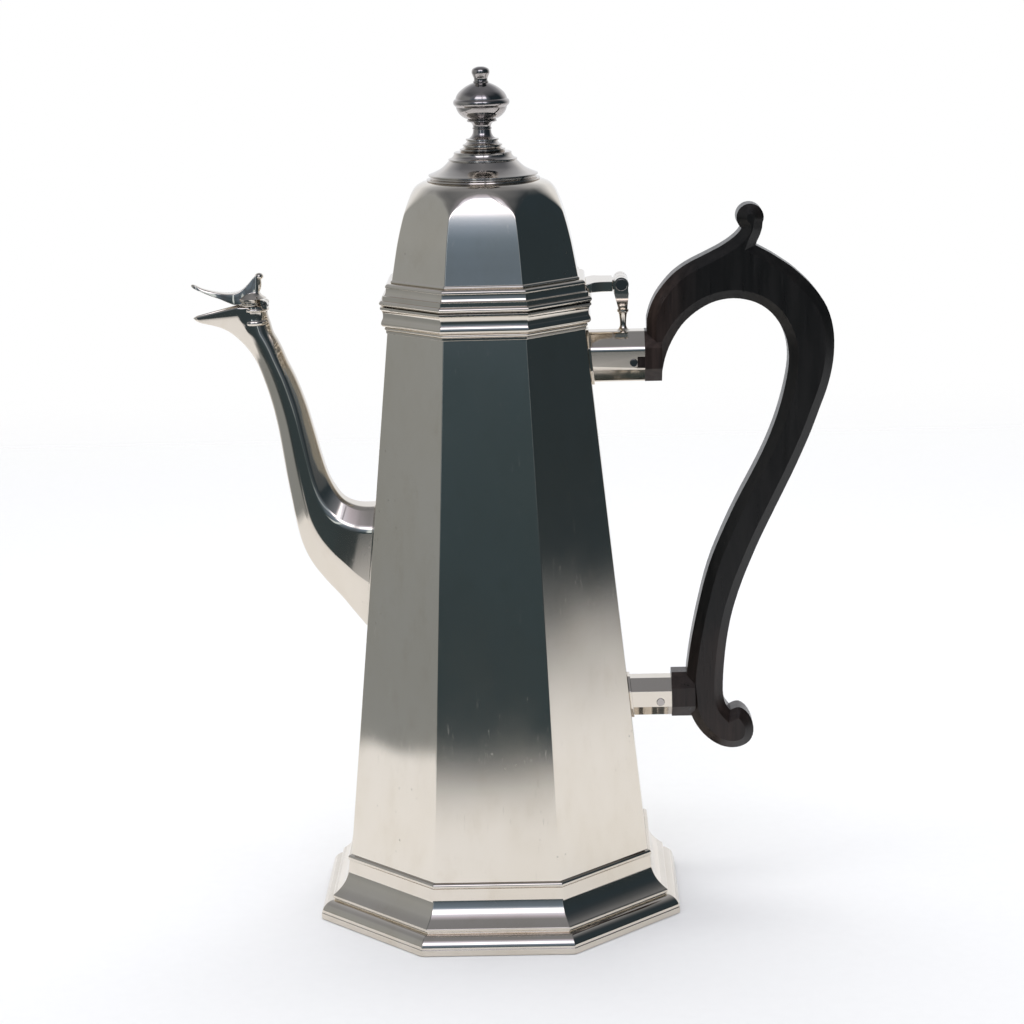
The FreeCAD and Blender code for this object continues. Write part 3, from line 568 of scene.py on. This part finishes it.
moulding("rim_ring", [
    ("M", (a_body(175.0) - 0.02, 175.0)), ("L", (28.95, 175.12)), ("L", (28.98, 175.85)), ("L", (28.8, 175.95)),
    ("S", [(29.22, 176.12), (29.34, 176.5), (29.12, 176.9)]), ("L", (29.0, 177.0)),
    ("S", [(29.85, 177.18), (30.28, 177.75), (30.2, 178.6), (29.82, 179.35)]),
    ("S", [(29.7, 180.3), (29.85, 181.3), (30.3, 182.05)]),
    ("L", (30.48, 182.12)), ("L", (30.5, 182.7)), ("L", (30.4, Z_MOUTH)), ("L", (a_body(Z_MOUTH) - 0.02, Z_MOUTH))],
    CAST, "pot", ["rim_moulding"], ease=0.08, sub=6)

# --------------------------------------------------------------------- the lid
moulding("lid_bezel_ring", [
    ("M", (25.9, Z_LID)), ("L", (30.3, Z_LID)), ("L", (30.45, 183.4)),
    ("S", [(30.7, 183.85), (30.45, 184.4), (29.95, 184.68)]), ("L", (29.78, 184.75)), ("L", (29.72, 185.95)),
    ("S", [(29.2, 186.15), (28.86, 186.75), (28.7, 187.5), (28.64, 188.2)]), ("L", (28.82, 188.3)),
    ("S", [(28.78, 188.85), (28.3, 189.3), (27.6, Z_DOME)]), ("L", (25.9, Z_DOME))],
    CAST, "lid", ["lid_bezel"], ease=0.08, sub=6)

moulding("lid_flange_ring", [
    ("M", (25.2, 179.9)), ("L", (26.2, 179.9)), ("L", (26.2, Z_LID)), ("L", (25.9, Z_LID)),
    ("L", (25.9, 186.0)), ("L", (25.2, 186.0))], CAST, "lid", ["lid_flange"], ease=0.12)

# the dome: eight facets that melt into a round shoulder near the top
dome_out, dome_corner = trace([
    ("M", (27.1, Z_DOME)), ("S", [(27.28, 189.85), (26.85, 190.35)]),
    ("S", [(26.38, 193.0), (25.74, 196.7), (24.97, 200.8), (24.12, 204.5), (23.38, 207.3), (22.45, 210.4),
           (21.72, 212.5), (20.75, 214.75), (19.6, 216.25), (18.0, 217.2), (16.0, Z_TOP)])], 8)


def melt(a, z):
    s = max(0.0, min(1.0, (z - 208.5) / 9.0))
    s = s * s * (3 - 2 * s)
    return 0.8 + (a - 0.8) * s


dome_in = spline([(15.6, Z_TOP - 1.0), (17.6, 216.2), (18.9, 215.35), (19.85, 214.1), (20.75, 212.1), (21.45, 210.1),
                  (22.38, 207.0), (23.13, 204.2), (23.97, 200.6), (24.75, 196.4), (25.36, 193.0), (25.95, Z_DOME + 0.6)], 4)
dome_pts = [(a, z, melt(a, z)) for a, z in eased(dome_out, dome_corner, 0.08, closed=False)]
dome_pts += [(1.6, Z_TOP, 1.6), (1.6, Z_TOP - 1.0, 1.6)]
dome_pts += [(a, z, min(melt(a + 1.0, z), a)) for a, z in dome_in] + [(25.95, Z_DOME, 0.5)]
swept("lid_dome_shell", dome_pts, SHEET, "lid", ["lid_dome"], arcs=13)

moulding("finial_base_rings", [
    ("M", (1.55, Z_TOP)), ("L", (16.35, Z_TOP)), ("L", (16.5, 217.9)), ("L", (16.4, 218.15)), ("L", (15.8, 218.3)),
    ("S", [(15.45, 218.6), (15.5, 218.95)]), ("L", (15.9, 219.1)), ("L", (15.85, 219.4)), ("L", (15.5, 219.55)),
    ("S", [(13.7, 220.3), (12.0, 221.25), (10.8, 222.3), (9.9, 223.2)]), ("L", (9.75, 223.35)), ("L", (10.0, 223.5)),
    ("L", (9.95, 223.8)), ("S", [(9.3, 224.0), (8.7, 224.5), (8.35, 225.2)]), ("L", (8.4, 225.55)), ("L", (8.1, 225.75)),
    ("S", [(6.8, 225.9), (6.15, 226.15)]), ("L", (6.6, 226.3)), ("L", (6.6, 226.6)),
    ("S", [(5.75, 226.85), (5.35, 227.3)]), ("L", (5.75, 227.45)), ("L", (5.7, 227.85)),
    ("S", [(4.9, 228.2), (4.4, 228.9)]), ("L", (4.8, 229.1)), ("L", (4.75, 229.45)), ("L", (3.9, 229.6)), ("L", (1.55, 229.6))],
    SEAT, "lid", ["finial_seat"], ease=0.07, octagon=False, seg=128)

moulding("finial_knop_turned", [
    ("M", (1.55, 229.6)), ("L", (3.9, 229.6)), ("S", [(3.4, 229.95), (2.98, 230.5), (2.7, 231.2)]), ("L", (2.6, 232.1)),
    ("L", (2.8, 232.25)), ("L", (2.8, 232.6)), ("L", (2.6, 232.75)), ("S", [(2.7, 233.4), (3.1, 233.95), (3.7, 234.25)]),
    ("L", (4.2, 234.35)), ("L", (4.35, 234.6)), ("L", (4.2, 234.9)), ("L", (3.95, 235.0)),
    ("S", [(5.3, 235.6), (6.35, 236.5), (7.0, 237.45), (7.38, 238.6)]), ("L", (7.62, 238.85)),
    ("S", [(8.1, 239.5), (8.1, 240.2), (7.72, 240.75)]), ("L", (7.45, 240.9)),
    ("S", [(7.2, 241.7), (6.6, 242.65), (5.7, 243.5), (4.6, 244.3), (3.4, 244.95), (2.3, 245.4)]),
    ("L", (0.0, 245.4)), ("L", (0.0, 238.0)), ("L", (1.55, 238.0))],
    TURNED, "lid", ["finial_knop"], ease=0.07, octagon=False, seg=96)

moulding("finial_tip", [
    ("M", (0.0, 245.4)), ("L", (2.2, 245.4)), ("L", (2.25, 245.75)), ("L", (2.0, 246.0)),
    ("S", [(1.98, 246.6), (2.28, 247.4), (2.6, 248.3), (2.4, 249.2), (1.4, 249.83), (0.0, 250.0)])],
    TURNED, "lid", ["finial_button"], ease=0.06, octagon=False, seg=64, sub=7)

# ------------------------------------------------------------------- the spout
ST = [
    ((-38.6, 84.9), (-34.8, 122.2), 9.5, 0.9, 4.6, 0.385, 0.845),
    ((-41.6, 88.7), (-37.9, 122.2), 9.0, 1.2, 4.4, 0.38, 0.83),
    ((-45.6, 94.0), (-40.9, 122.8), 8.1, 1.5, 3.9, 0.37, 0.80),
    ((-50.2, 99.4), (-43.8, 124.4), 7.1, 1.8, 3.3, 0.36, 0.76),
    ((-54.3, 105.2), (-46.1, 127.3), 6.4, 2.1, 2.9, 0.35, 0.72),
    ((-56.8, 111.0), (-47.7, 130.4), 6.0, 2.3, 2.6, 0.34, 0.69),
    ((-58.3, 117.5), (-48.9, 133.6), 5.7, 2.4, 2.5, 0.335, 0.67),
    ((-59.4, 124.2), (-50.0, 137.5), 5.5, 2.4, 2.4, 0.33, 0.66),
    ((-60.6, 131.8), (-51.1, 142.0), 5.3, 2.3, 2.3, 0.33, 0.66),
    ((-61.6, 139.3), (-52.3, 146.8), 5.1, 2.2, 2.2, 0.33, 0.66),
    ((-62.7, 146.7), (-53.6, 151.9), 4.9, 2.1, 2.1, 0.33, 0.66),
    ((-64.2, 153.8), (-55.2, 156.9), 4.7, 2.0, 2.0, 0.33, 0.66),
    ((-66.2, 160.6), (-57.0, 161.7), 4.55, 1.9, 1.9, 0.34, 0.67),
    ((-68.6, 166.6), (-59.2, 166.6), 4.4, 1.8, 1.8, 0.36, 0.68),
    ((-70.6, 169.7), (-60.4, 169.7), 4.3, 1.75, 1.8, 0.40, 0.70),
    ((-72.9, 172.3), (-61.6, 172.3), 4.2, 1.7, 1.8, 0.46, 0.72),
    ((-75.6, 174.6), (-62.8, 174.6), 4.1, 1.6, 1.8, 0.52, 0.75),
    ((-78.5, 176.1), (-63.5, 177.2), 4.0, 1.5, 1.8, 0.57, 0.79),
    ((-81.4, 176.95), (-63.9, 178.6), 3.95, 1.4, 1.8, 0.62, 0.82),
    ((-84.2, 177.6), (-64.15, 179.7), 3.9, 1.3, 1.8, 0.66, 0.85),
    ((-85.8, 178.5), (-64.3, 180.8), 3.9, 1.3, 1.8, 0.68, 0.86),
    ((-86.1, 179.6), (-64.4, 181.7), 3.9, 1.3, 1.8, 0.68, 0.86),
    ((-86.2, 182.3), (-64.4, 182.3), 3.9, 1.3, 1.8, 0.68, 0.86),
]
LIFT = [0.0] * 13 + [0.15, 0.3, 0.5, 0.65, 0.8, 0.9, 0.9, 0.9, 0.9, 1.6]
fine = spline([(a[0], a[1], b[0], b[1], w, wf, wb, c1, c2, l) for (a, b, w, wf, wb, c1, c2), l in zip(ST, LIFT)], 4)


def inset(pts, d):
    n = len(pts)
    out = []
    for i in range(n):
        p0, p1, p2 = pts[i - 1], pts[i], pts[(i + 1) % n]
        u = (p1[0] - p0[0], p1[1] - p0[1])
        w = (p2[0] - p1[0], p2[1] - p1[1])
        lu, lw = math.hypot(*u), math.hypot(*w)
        nu, nw = (-u[1] / lu, u[0] / lu), (-w[1] / lw, w[0] / lw)
        k = d / (1.0 + nu[0] * nw[0] + nu[1] * nw[1])
        out.append((p1[0] + k * (nu[0] + nw[0]), p1[1] + k * (nu[1] + nw[1])))
    return out


def spout_ring(s, d=0.0, lift=0.0, ease=None, arc=5):
    fx, fz, bx, bz, w, wf, wb, c1, c2 = s[:9]
    if ease is None:
        ease = 1.35 + 0.7 * max(0.0, min(1.0, (fz - 160.0) / 14.0))
    L = math.hypot(bx - fx, bz - fz)
    ux, uz = (bx - fx) / L, (bz - fz) / L
    flat = [(0, -wf), (c1 * L, -w), (c2 * L, -w), (L, -wb), (L, wb), (c2 * L, w), (c1 * L, w), (0, wf)]
    if d:
        flat = inset(flat, d)
    out = []
    n = len(flat)
    for i in range(n):
        p0, p1, p2 = Vector(flat[i - 1]), Vector(flat[i]), Vector(flat[(i + 1) % n])
        u, v = p1 - p0, p2 - p1
        t = min(ease, 0.47 * u.length, 0.47 * v.length)
        a, b = p1 - u.normalized() * t, p1 + v.normalized() * t
        for k in range(arc + 1):
            q = k / arc
            out.append(a * (1 - q) ** 2 + p1 * 2 * q * (1 - q) + b * q * q)
    return [Vector((fx + ux * p.x, p.y, fz + uz * p.x + lift)) for p in out]


def mouth_z(x):
    pts = ((-100, 175.2), (-86.4, 179.15), (-74.8, 182.3), (-50, 182.3))
    for (x0, z0), (x1, z1) in zip(pts, pts[1:]):
        if x <= x1:
            return z0 + (z1 - z0) * (x - x0) / (x1 - x0)
    return 182.3


def tube_mesh(rings, flip=False):
    """Vertices, faces and smooth per-corner normals of a stack of closed rings."""
    n, m = len(rings), len(rings[0])
    verts = [v for r in rings for v in r]
    nor = []
    for i in range(n):
        for j in range(m):
            a, b, c = rings[i][j - 1], rings[i][j], rings[i][(j + 1) % m]
            along = (c - b) * (c - b).length + (b - a) * (b - a).length
            if along.length < 1e-9:
                along = c - a
            up = (rings[min(i + 1, n - 1)][j] - rings[max(i - 1, 0)][j])
            if up.length < 1e-6:
                up = rings[min(i + 2, n - 1)][j] - rings[max(i - 2, 0)][j]
            if up.length < 1e-6:
                up = Vector((0, 0, 1))
            q = along.cross(up)
            nor.append(q.normalized() if q.length > 1e-9 else Vector((0, 0, 1)))
    faces, normals = [], []
    for i in range(n - 1):
        for j in range(m):
            j2 = (j + 1) % m
            f = [i * m + j, i * m + j2, (i + 1) * m + j2, (i + 1) * m + j]
            if flip:
                f = f[::-1]
            faces.append(f)
            normals += [-nor[k] if flip else nor[k] for k in f]
    return verts, faces, normals


def clamp_ring(r):
    return [Vector((p.x, p.y, min(p.z, mouth_z(p.x) - 0.38))) for p in r]


def on_wall(r, off):
    return [Vector((-(a_body(p.z) + off), p.y, p.z)) for p in r]


s0 = fine[0]
outer_r = [on_wall(spout_ring(s0), 0.62)] + [clamp_ring(spout_ring(s)) for s in fine[0:]]
inner_r = [on_wall(spout_ring(s0, 0.95), 0.62)] + [clamp_ring(spout_ring(s, 0.95, s[9])) for s in fine[0:]]
# the last rings stop on the mouth's slope
last_o, last_i = outer_r[-1], inner_r[-1]
m_ = len(last_o)
lips = []
for f, drop in ((0.03, 0.22), (0.12, 0.08), (0.26, 0.0), (0.45, -0.03), (0.65, -0.02), (0.83, 0.06), (0.95, 0.2)):
    lip = [(a.x * (1 - f) + b.x * f, a.y * (1 - f) + b.y * f) for a, b in zip(last_o, last_i)]
    lips.append([Vector((x, y, mouth_z(x) - drop)) for x, y in lip])
rings = outer_r + lips + inner_r[::-1] + [outer_r[0]]
verts, faces, normals = tube_mesh(rings, flip=False)
# orient outwards
probe = len(outer_r) // 2
pn_ = (verts[probe * m_ + m_ // 2] - Vector((sum(v.x for v in outer_r[probe]) / m_, 0, sum(v.z for v in outer_r[probe]) / m_)))
if normals[4 * (probe * m_ + m_ // 2)].dot(pn_) < 0:
    verts, faces, normals = tube_mesh(rings, flip=True)
neck = build("spout_tube", verts, faces, None, CAST, "pot", ["spout_neck"])
bm = bmesh.new()
bm.from_mesh(neck.data)
bmesh.ops.remove_doubles(bm, verts=bm.verts, dist=1e-6)
bmesh.ops.dissolve_degenerate(bm, edges=bm.edges, dist=5e-7)
bmesh.ops.recalc_face_normals(bm, faces=bm.faces)
for f in bm.faces:
    f.smooth = True
bm.to_mesh(neck.data)
bm.free()
neck.data.set_sharp_from_angle(angle=math.radians(48))
wn = neck.modifiers.new("shade", "WEIGHTED_NORMAL")
wn.weight = 50
wn.keep_sharp = True

# the thin plate under the spout's root
seat_rings = []
for d, off in ((-0.75, 0.0), (-0.75, 0.45), (-0.62, 0.65), (-0.45, 0.7), (0.3, 0.7), (0.95, 0.7), (0.95, 0.0), (-0.75, 0.0)):
    seat_rings.append(on_wall(spout_ring(s0, d), off))
verts, faces, normals = tube_mesh(seat_rings, flip=False)
seat = build("spout_root_plate", verts, faces, None, CAST, "pot", ["spout_seat"])
bm = bmesh.new()
bm.from_mesh(seat.data)
bmesh.ops.remove_doubles(bm, verts=bm.verts, dist=5e-6)
bmesh.ops.recalc_face_normals(bm, faces=bm.faces)
for f in bm.faces:
    f.smooth = True
bm.to_mesh(seat.data)
bm.free()
seat.data.set_sharp_from_angle(angle=math.radians(40))

refine_node("spout_mouth_collar", "spout_collar", CAST, "pot", width=0.06)
refine_node("flap_pin", "flap_hinge_pin", TURNED, "pot", width=0.05)


# -------------------------------------------------------------------- the flap
def closed_mesh(rings):
    verts = [v for r in rings for v in r]
    m = len(rings[0])
    faces = []
    for i in range(len(rings) - 1):
        for j in range(m):
            j2 = (j + 1) % m
            faces.append([i * m + j, i * m + j2, (i + 1) * m + j2, (i + 1) * m + j])
    faces.append(list(range(m))[::-1])
    faces.append([(len(rings) - 1) * m + j for j in range(m)])
    me = bpy.data.meshes.new("part")
    me.from_pydata([tuple(v * MM) for v in verts], [], faces)
    b = bmesh.new()
    b.from_mesh(me)
    bmesh.ops.recalc_face_normals(b, faces=b.faces)
    b.to_mesh(me)
    b.free()
    return me


hull = spline([  # x, half width and height of the crest, of the side, of the lower edge
    (-86.36, 0.20, 188.75, 0.26, 188.62, 0.24, 188.45), (-86.05, 0.44, 188.92, 0.58, 188.50, 0.62, 188.08),
    (-85.3, 0.84, 188.75, 0.93, 188.20, 1.01, 187.62), (-83.8, 0.92, 187.95, 1.13, 187.45, 1.20, 186.92),
    (-80.9, 1.34, 187.02, 1.60, 186.35, 1.68, 185.70), (-78.0, 1.95, 186.40, 2.05, 185.50, 2.15, 184.72),
    (-75.1, 2.60, 186.18, 2.72, 184.85, 2.85, 183.55), (-73.6, 2.80, 186.32, 2.94, 184.75, 3.10, 183.05),
    (-72.1, 2.65, 186.85, 2.85, 185.00, 3.10, 183.10), (-70.6, 2.25, 187.95, 2.50, 185.60, 2.90, 183.20),
    (-69.1, 1.85, 189.40, 2.25, 186.20, 2.80, 183.30), (-67.8, 1.55, 190.85, 1.95, 186.80, 2.60, 183.30),
    (-67.0, 1.35, 191.50, 1.70, 187.00, 2.40, 183.30), (-66.5, 1.05, 191.55, 1.35, 186.80, 2.10, 183.30)], 5)


def hull_ring(x, w, ze, wm, zm, wb, zb, arc=4):
    flat = [(-w, ze - 0.05), (0.0, ze), (w, ze - 0.05), (wm, zm), (wb, zb + 0.06), (wb - 0.06, zb), (-wb + 0.06, zb), (-wb, zb + 0.06), (-wm, zm)]
    out = []
    for k in range(len(flat)):
        p0, p1, p2 = Vector(flat[k - 1]), Vector(flat[k]), Vector(flat[(k + 1) % len(flat)])
        u, v = p1 - p0, p2 - p1
        lim = 0.28
        t = min(lim, 0.44 * u.length, 0.44 * v.length)
        a, b = p1 - u.normalized() * t, p1 + v.normalized() * t
        for q in range(arc + 1):
            f = q / arc
            c = a * (1 - f) ** 2 + p1 * 2 * f * (1 - f) + b * f * f
            out.append(Vector((x, c.x, c.y)))
    return out


blade = closed_mesh([hull_ring(*r) for r in hull])

# the solid foot of the flap: ringed at the bottom, drawn up into the thumb-piece
levels = [  # z, front x, back x, half width
    (182.62, -72.5, -66.15, 4.15), (182.75, -72.65, -66.05, 4.3), (183.1, -72.65, -66.05, 4.3), (183.3, -72.4, -66.1, 4.0),
    (183.75, -72.4, -66.1, 4.0), (183.95, -72.65, -66.05, 4.3), (184.3, -72.7, -66.0, 4.32), (184.6, -72.75, -64.5, 4.2),
    (184.85, -72.6, -64.9, 3.9), (185.3, -72.3, -65.6, 3.3), (185.9, -71.6, -66.1, 2.6), (186.4, -71.0, -66.3, 2.1)]
base_rings = []
for z, xf, xb, w in spline(levels, 2):
    cx, rx = (xf + xb) / 2, (xb - xf) / 2
    ring = []
    for j in range(36):
        t = 2 * math.pi * j / 36
        c, s = math.cos(t), math.sin(t)
        k = 2.3
        ring.append(Vector((cx + rx * math.copysign(abs(c) ** (2 / k), c), w * math.copysign(abs(s) ** (2 / k), s), z)))
    base_rings.append(ring)
base = closed_mesh(base_rings)
knuckle = closed_mesh([[Vector((-64.95 + 0.93 * math.cos(2 * math.pi * j / 28), y, 183.0 + 0.93 * math.sin(2 * math.pi * j / 28)))
                        for j in range(28)] for y in (-1.2, -1.1, 1.1, 1.2)])
def bead(cx, cz, rx, ry, rz, n=14, m=24):
    return closed_mesh([[Vector((cx + rx * max(math.sin(math.pi * i / n), 0.03) * math.cos(2 * math.pi * j / m),
                                 -ry * math.cos(math.pi * i / n), cz + rz * max(math.sin(math.pi * i / n), 0.03) * math.sin(2 * math.pi * j / m)))
                         for j in range(m)] for i in range(n + 1)])


thumb = bead(-66.35, 190.9, 1.3, 1.45, 1.05)
shank = bead(-66.75, 188.9, 1.05, 1.15, 2.6)
tongue = closed_mesh([[Vector(p) for p in ((-67.2, y, 182.75), (-65.2, y, 182.75), (-65.2, y, 183.9), (-67.2, y, 184.2))] for y in (-1.12, 1.12)])
flap = bpy.data.objects.new("spout_flap_leaf", blade)
bpy.context.scene.collection.objects.link(flap)
tools = []
for me in (base, knuckle, tongue, thumb, shank):
    o = bpy.data.objects.new("tool", me)
    bpy.context.scene.collection.objects.link(o)
    tools.append(o)
    mod = flap.modifiers.new("join", "BOOLEAN")
    mod.operation = "UNION"
    mod.solver = "EXACT"
    mod.object = o
bore_o = bpy.data.objects.new("tool", closed_mesh([[Vector((-64.95 + 0.55 * math.cos(2 * math.pi * j / 24), y, 183.0 + 0.55 * math.sin(2 * math.pi * j / 24)))
                                                   for j in range(24)] for y in (-3.0, 3.0)]))
bpy.context.scene.collection.objects.link(bore_o)
tools.append(bore_o)
mod = flap.modifiers.new("bore", "BOOLEAN")
mod.operation = "DIFFERENCE"
mod.solver = "EXACT"
mod.object = bore_o
dg = bpy.context.evaluated_depsgraph_get()
me = bpy.data.meshes.new_from_object(flap.evaluated_get(dg))
flap.modifiers.clear()
flap.data = me
for o in tools:
    bpy.data.objects.remove(o)
me.materials.clear()
me.materials.append(CAST)
for p in me.polygons:
    p.use_smooth = True
    p.material_index = 0
me.set_sharp_from_angle(angle=math.radians(42))
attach(flap, "flap")
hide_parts("spout_flap")

# ------------------------------------------------------------ sockets and hinge
for nm, w, lx, ln in (("upper_socket", 0.12, 0.95, 4.6), ("lower_socket", 0.2, 0, 0), ("upper_socket_plate", 0.15, 0, 0),
                      ("lower_socket_plate", 0.15, 0, 0), ("hinge_post", 0.14, 0, 0), ("hinge_knuckles", 0.12, 0, 0)):
    refine_node(nm + "_silver", nm, CAST, "pot", width=w, long_x=lx, lean=ln)
for nm in ("upper_handle_pin", "lower_handle_pin", "lid_hinge_pin"):
    refine_node(nm + "_silver", nm, TURNED, "pot", width=0.12)
refine_node("lid_hinge_strap", "lid_hinge_arm", CAST, "lid", width=0.14)
for nm in ("finial_stud", "finial_nut"):
    refine_node(nm + "_silver", nm, TURNED, "lid", width=0.1)

# ------------------------------------------------------------------ the handle
refine_node("handle_wood", "handle", WOOD, "pot", width=0.35, seg=3, angle=26, dissolve=0.3)

# ------------------------------------------------------------ the floor and sky
fm = bpy.data.materials.new("studio_paper")
fm.use_nodes = True
nt = fm.node_tree
p = nt.nodes["Principled BSDF"]
p.inputs["Roughness"].default_value = 0.9
p.inputs["Specular IOR Level"].default_value = 0.1
co = nt.nodes.new("ShaderNodeTexCoord").outputs["Object"]
fib = noise(nt, mapped(nt, co, (240, 240, 240)), 1.0, 3, 0.6)
nt.links.new(mix_rgb(nt, fib, (0.86, 0.855, 0.845), (0.89, 0.885, 0.875)), p.inputs["Base Color"])
sep = nt.nodes.new("ShaderNodeSeparateXYZ")
nt.links.new(co, sep.inputs[0])
fade_front = map_range(nt, sep.outputs[1], -0.66, -0.26)
fade_side = math_node(nt, "MULTIPLY", map_range(nt, sep.outputs[0], -0.37, -0.33), map_range(nt, sep.outputs[0], 0.30, 1.15, 1.0, 0.0))
fade_back = map_range(nt, sep.outputs[1], 0.4, 0.9, 1.0, 0.0)
alpha = math_node(nt, "MULTIPLY", math_node(nt, "MULTIPLY", fade_front, fade_side), fade_back)
nt.links.new(alpha, p.inputs["Alpha"])
bm = bmesh.new()
bmesh.ops.create_grid(bm, x_segments=8, y_segments=8, size=2.5)
me = bpy.data.meshes.new("studio_floor")
bm.to_mesh(me)
bm.free()
me.materials.append(fm)
floor = bpy.data.objects.new("studio_floor", me)
floor.location = (0, 0, -0.0001)
bpy.context.scene.collection.objects.link(floor)

w = bpy.data.worlds.new("studio")
bpy.context.scene.world = w
w.use_nodes = True
nt = w.node_tree
bg = nt.nodes["Background"]
TOP = 3.0
bg.inputs["Strength"].default_value = TOP
sep = nt.nodes.new("ShaderNodeSeparateXYZ")
nt.links.new(nt.nodes.new("ShaderNodeTexCoord").outputs["Generated"], sep.inputs[0])
X, Y, Z = sep.outputs
elev = math_node(nt, "MULTIPLY_ADD", math_node(nt, "ARCSINE", Z), 1 / math.pi)
elev.node.inputs[2].default_value = 0.5
azim = math_node(nt, "ARCTAN2", X, math_node(nt, "MULTIPLY", Y, -1.0))


def side(stops):
    """A wall of the studio, from straight down (-90) to straight up (90)."""
    return ramp(nt, elev, [((e + 90) / 180, tuple(v / TOP for v in c)) for e, c in stops])


front = side([(-90, (0.04, 0.05, 0.055)), (-6, (0.042, 0.06, 0.07)), (1, (0.05, 0.075, 0.09)), (7, (0.13, 0.17, 0.22)),
              (20, (0.19, 0.25, 0.33)), (24.5, (0.34, 0.42, 0.55)), (27.5, (0.75, 0.85, 1.05)), (32, (2.3, 2.3, 2.6)), (44, (2.3, 2.3, 2.6)),
              (49, (0.95, 0.98, 1.2)), (58, (0.62, 0.60, 0.72)), (67, (0.27, 0.28, 0.31)), (90, (0.25, 0.26, 0.29))])
left = side([(-90, (0.29, 0.31, 0.32)), (-8, (0.29, 0.31, 0.32)), (10, (0.38, 0.40, 0.41)), (34, (0.36, 0.38, 0.40)),
             (46, (0.19, 0.20, 0.22)), (56, (0.15, 0.16, 0.18)), (90, (0.25, 0.26, 0.29))])
right = side([(-90, (0.03, 0.04, 0.05)), (-4, (0.03, 0.042, 0.05)), (26, (0.03, 0.045, 0.058)), (44, (0.04, 0.05, 0.062)),
              (60, (0.13, 0.14, 0.16)), (90, (0.25, 0.26, 0.29))])
behind = side([(-90, (0.9, 0.9, 0.9)), (22, (0.92, 0.94, 0.98)), (36, (0.5, 0.52, 0.56)), (55, (0.26, 0.27, 0.30)),
               (90, (0.25, 0.26, 0.29))])
R = math.radians
dim = side([(-90, (0.04, 0.05, 0.055)), (-6, (0.042, 0.055, 0.062)), (7, (0.10, 0.12, 0.15)), (20, (0.15, 0.18, 0.22)), (28, (0.2, 0.23, 0.28)),
            (45, (0.26, 0.27, 0.32)), (58, (0.26, 0.26, 0.30)), (67, (0.25, 0.26, 0.29)), (90, (0.25, 0.26, 0.29))])
lit = math_node(nt, "MULTIPLY", map_range(nt, azim, R(-34), R(-25)), map_range(nt, azim, R(22), R(31), 1.0, 0.0))
bar = math_node(nt, "MULTIPLY", map_range(nt, azim, R(3.2), R(4.6)), map_range(nt, azim, R(7.4), R(8.8), 1.0, 0.0))
lit = math_node(nt, "SUBTRACT", lit, math_node(nt, "MULTIPLY", bar, 0.85))
sky = mix_rgb(nt, lit, dim, front)
# two narrow lit slots below the windows
up = math_node(nt, "MULTIPLY", map_range(nt, elev, (-4 + 90) / 180, (2 + 90) / 180), map_range(nt, elev, (22 + 90) / 180, (27 + 90) / 180, 1.0, 0.0))
for a, b, v in ((-22, -13, 0.30), (14, 20, 0.22)):
    slot = math_node(nt, "MULTIPLY", map_range(nt, azim, R(a), R(a + 2)), map_range(nt, azim, R(b - 2), R(b), 1.0, 0.0))
    sky = mix_rgb(nt, math_node(nt, "MULTIPLY", slot, up), sky, (v * 0.88, v * 1.0, v * 1.08))
sky = mix_rgb(nt, map_range(nt, azim, R(-38), R(-64)), sky, left)
sky = mix_rgb(nt, map_range(nt, azim, R(27), R(50)), sky, right)
sky = mix_rgb(nt, map_range(nt, math_node(nt, "ABSOLUTE", azim), R(98), R(150)), sky, behind)
lp = nt.nodes.new("ShaderNodeLightPath")
sky = mix_rgb(nt, lp.outputs["Is Camera Ray"], sky, (1.0 / TOP, 1.0 / TOP, 1.0 / TOP))
nt.links.new(sky, bg.inputs["Color"])


def area(name, loc, target, size, power, glossy=False, size_y=None, color=(1, 1, 1)):
    l = bpy.data.lights.new(name, "AREA")
    l.shape = "RECTANGLE"
    l.size, l.size_y = size, size_y or size
    l.energy = power
    l.color = color
    o = bpy.data.objects.new(name, l)
    o.location = loc
    o.rotation_mode = "QUATERNION"
    o.rotation_quaternion = (Vector(loc) - Vector(target)).to_track_quat("Z", "Y")
    o.visible_camera = False
    o.visible_glossy = glossy
    bpy.context.scene.collection.objects.link(o)
    return o


area("soft_top", (0.0, 0.2, 1.6), (0.0, 0.1, 0.0), 1.6, 27.0)

# ------------------------------------------------------------------- the camera
cam = bpy.data.cameras.new("camera")
cam.sensor_width = 36.0
cam.lens = 2676.160456885489 / 1024 * 36.0
cam.clip_start, cam.clip_end = 0.05, 20
co_ = bpy.data.objects.new("camera", cam)
yaw, pitch, roll = -0.021365444646438112, 0.22012610155435774, -0.024924315540777373
fwd = Vector((math.sin(yaw) * math.cos(pitch), math.cos(yaw) * math.cos(pitch), -math.sin(pitch)))
rt = Vector((math.cos(yaw), -math.sin(yaw), 0))
up = rt.cross(fwd)
r2 = math.cos(roll) * rt + math.sin(roll) * up
u2 = -math.sin(roll) * rt + math.cos(roll) * up
co_.matrix_world = Matrix(((r2.x, u2.x, -fwd.x, 0.022504686732396934), (r2.y, u2.y, -fwd.y, -0.7773349050038548),
                           (r2.z, u2.z, -fwd.z, 0.2927376174944337), (0, 0, 0, 1)))
bpy.context.scene.collection.objects.link(co_)
bpy.context.scene.camera = co_
bpy.context.scene.view_settings.view_transform = "Standard"
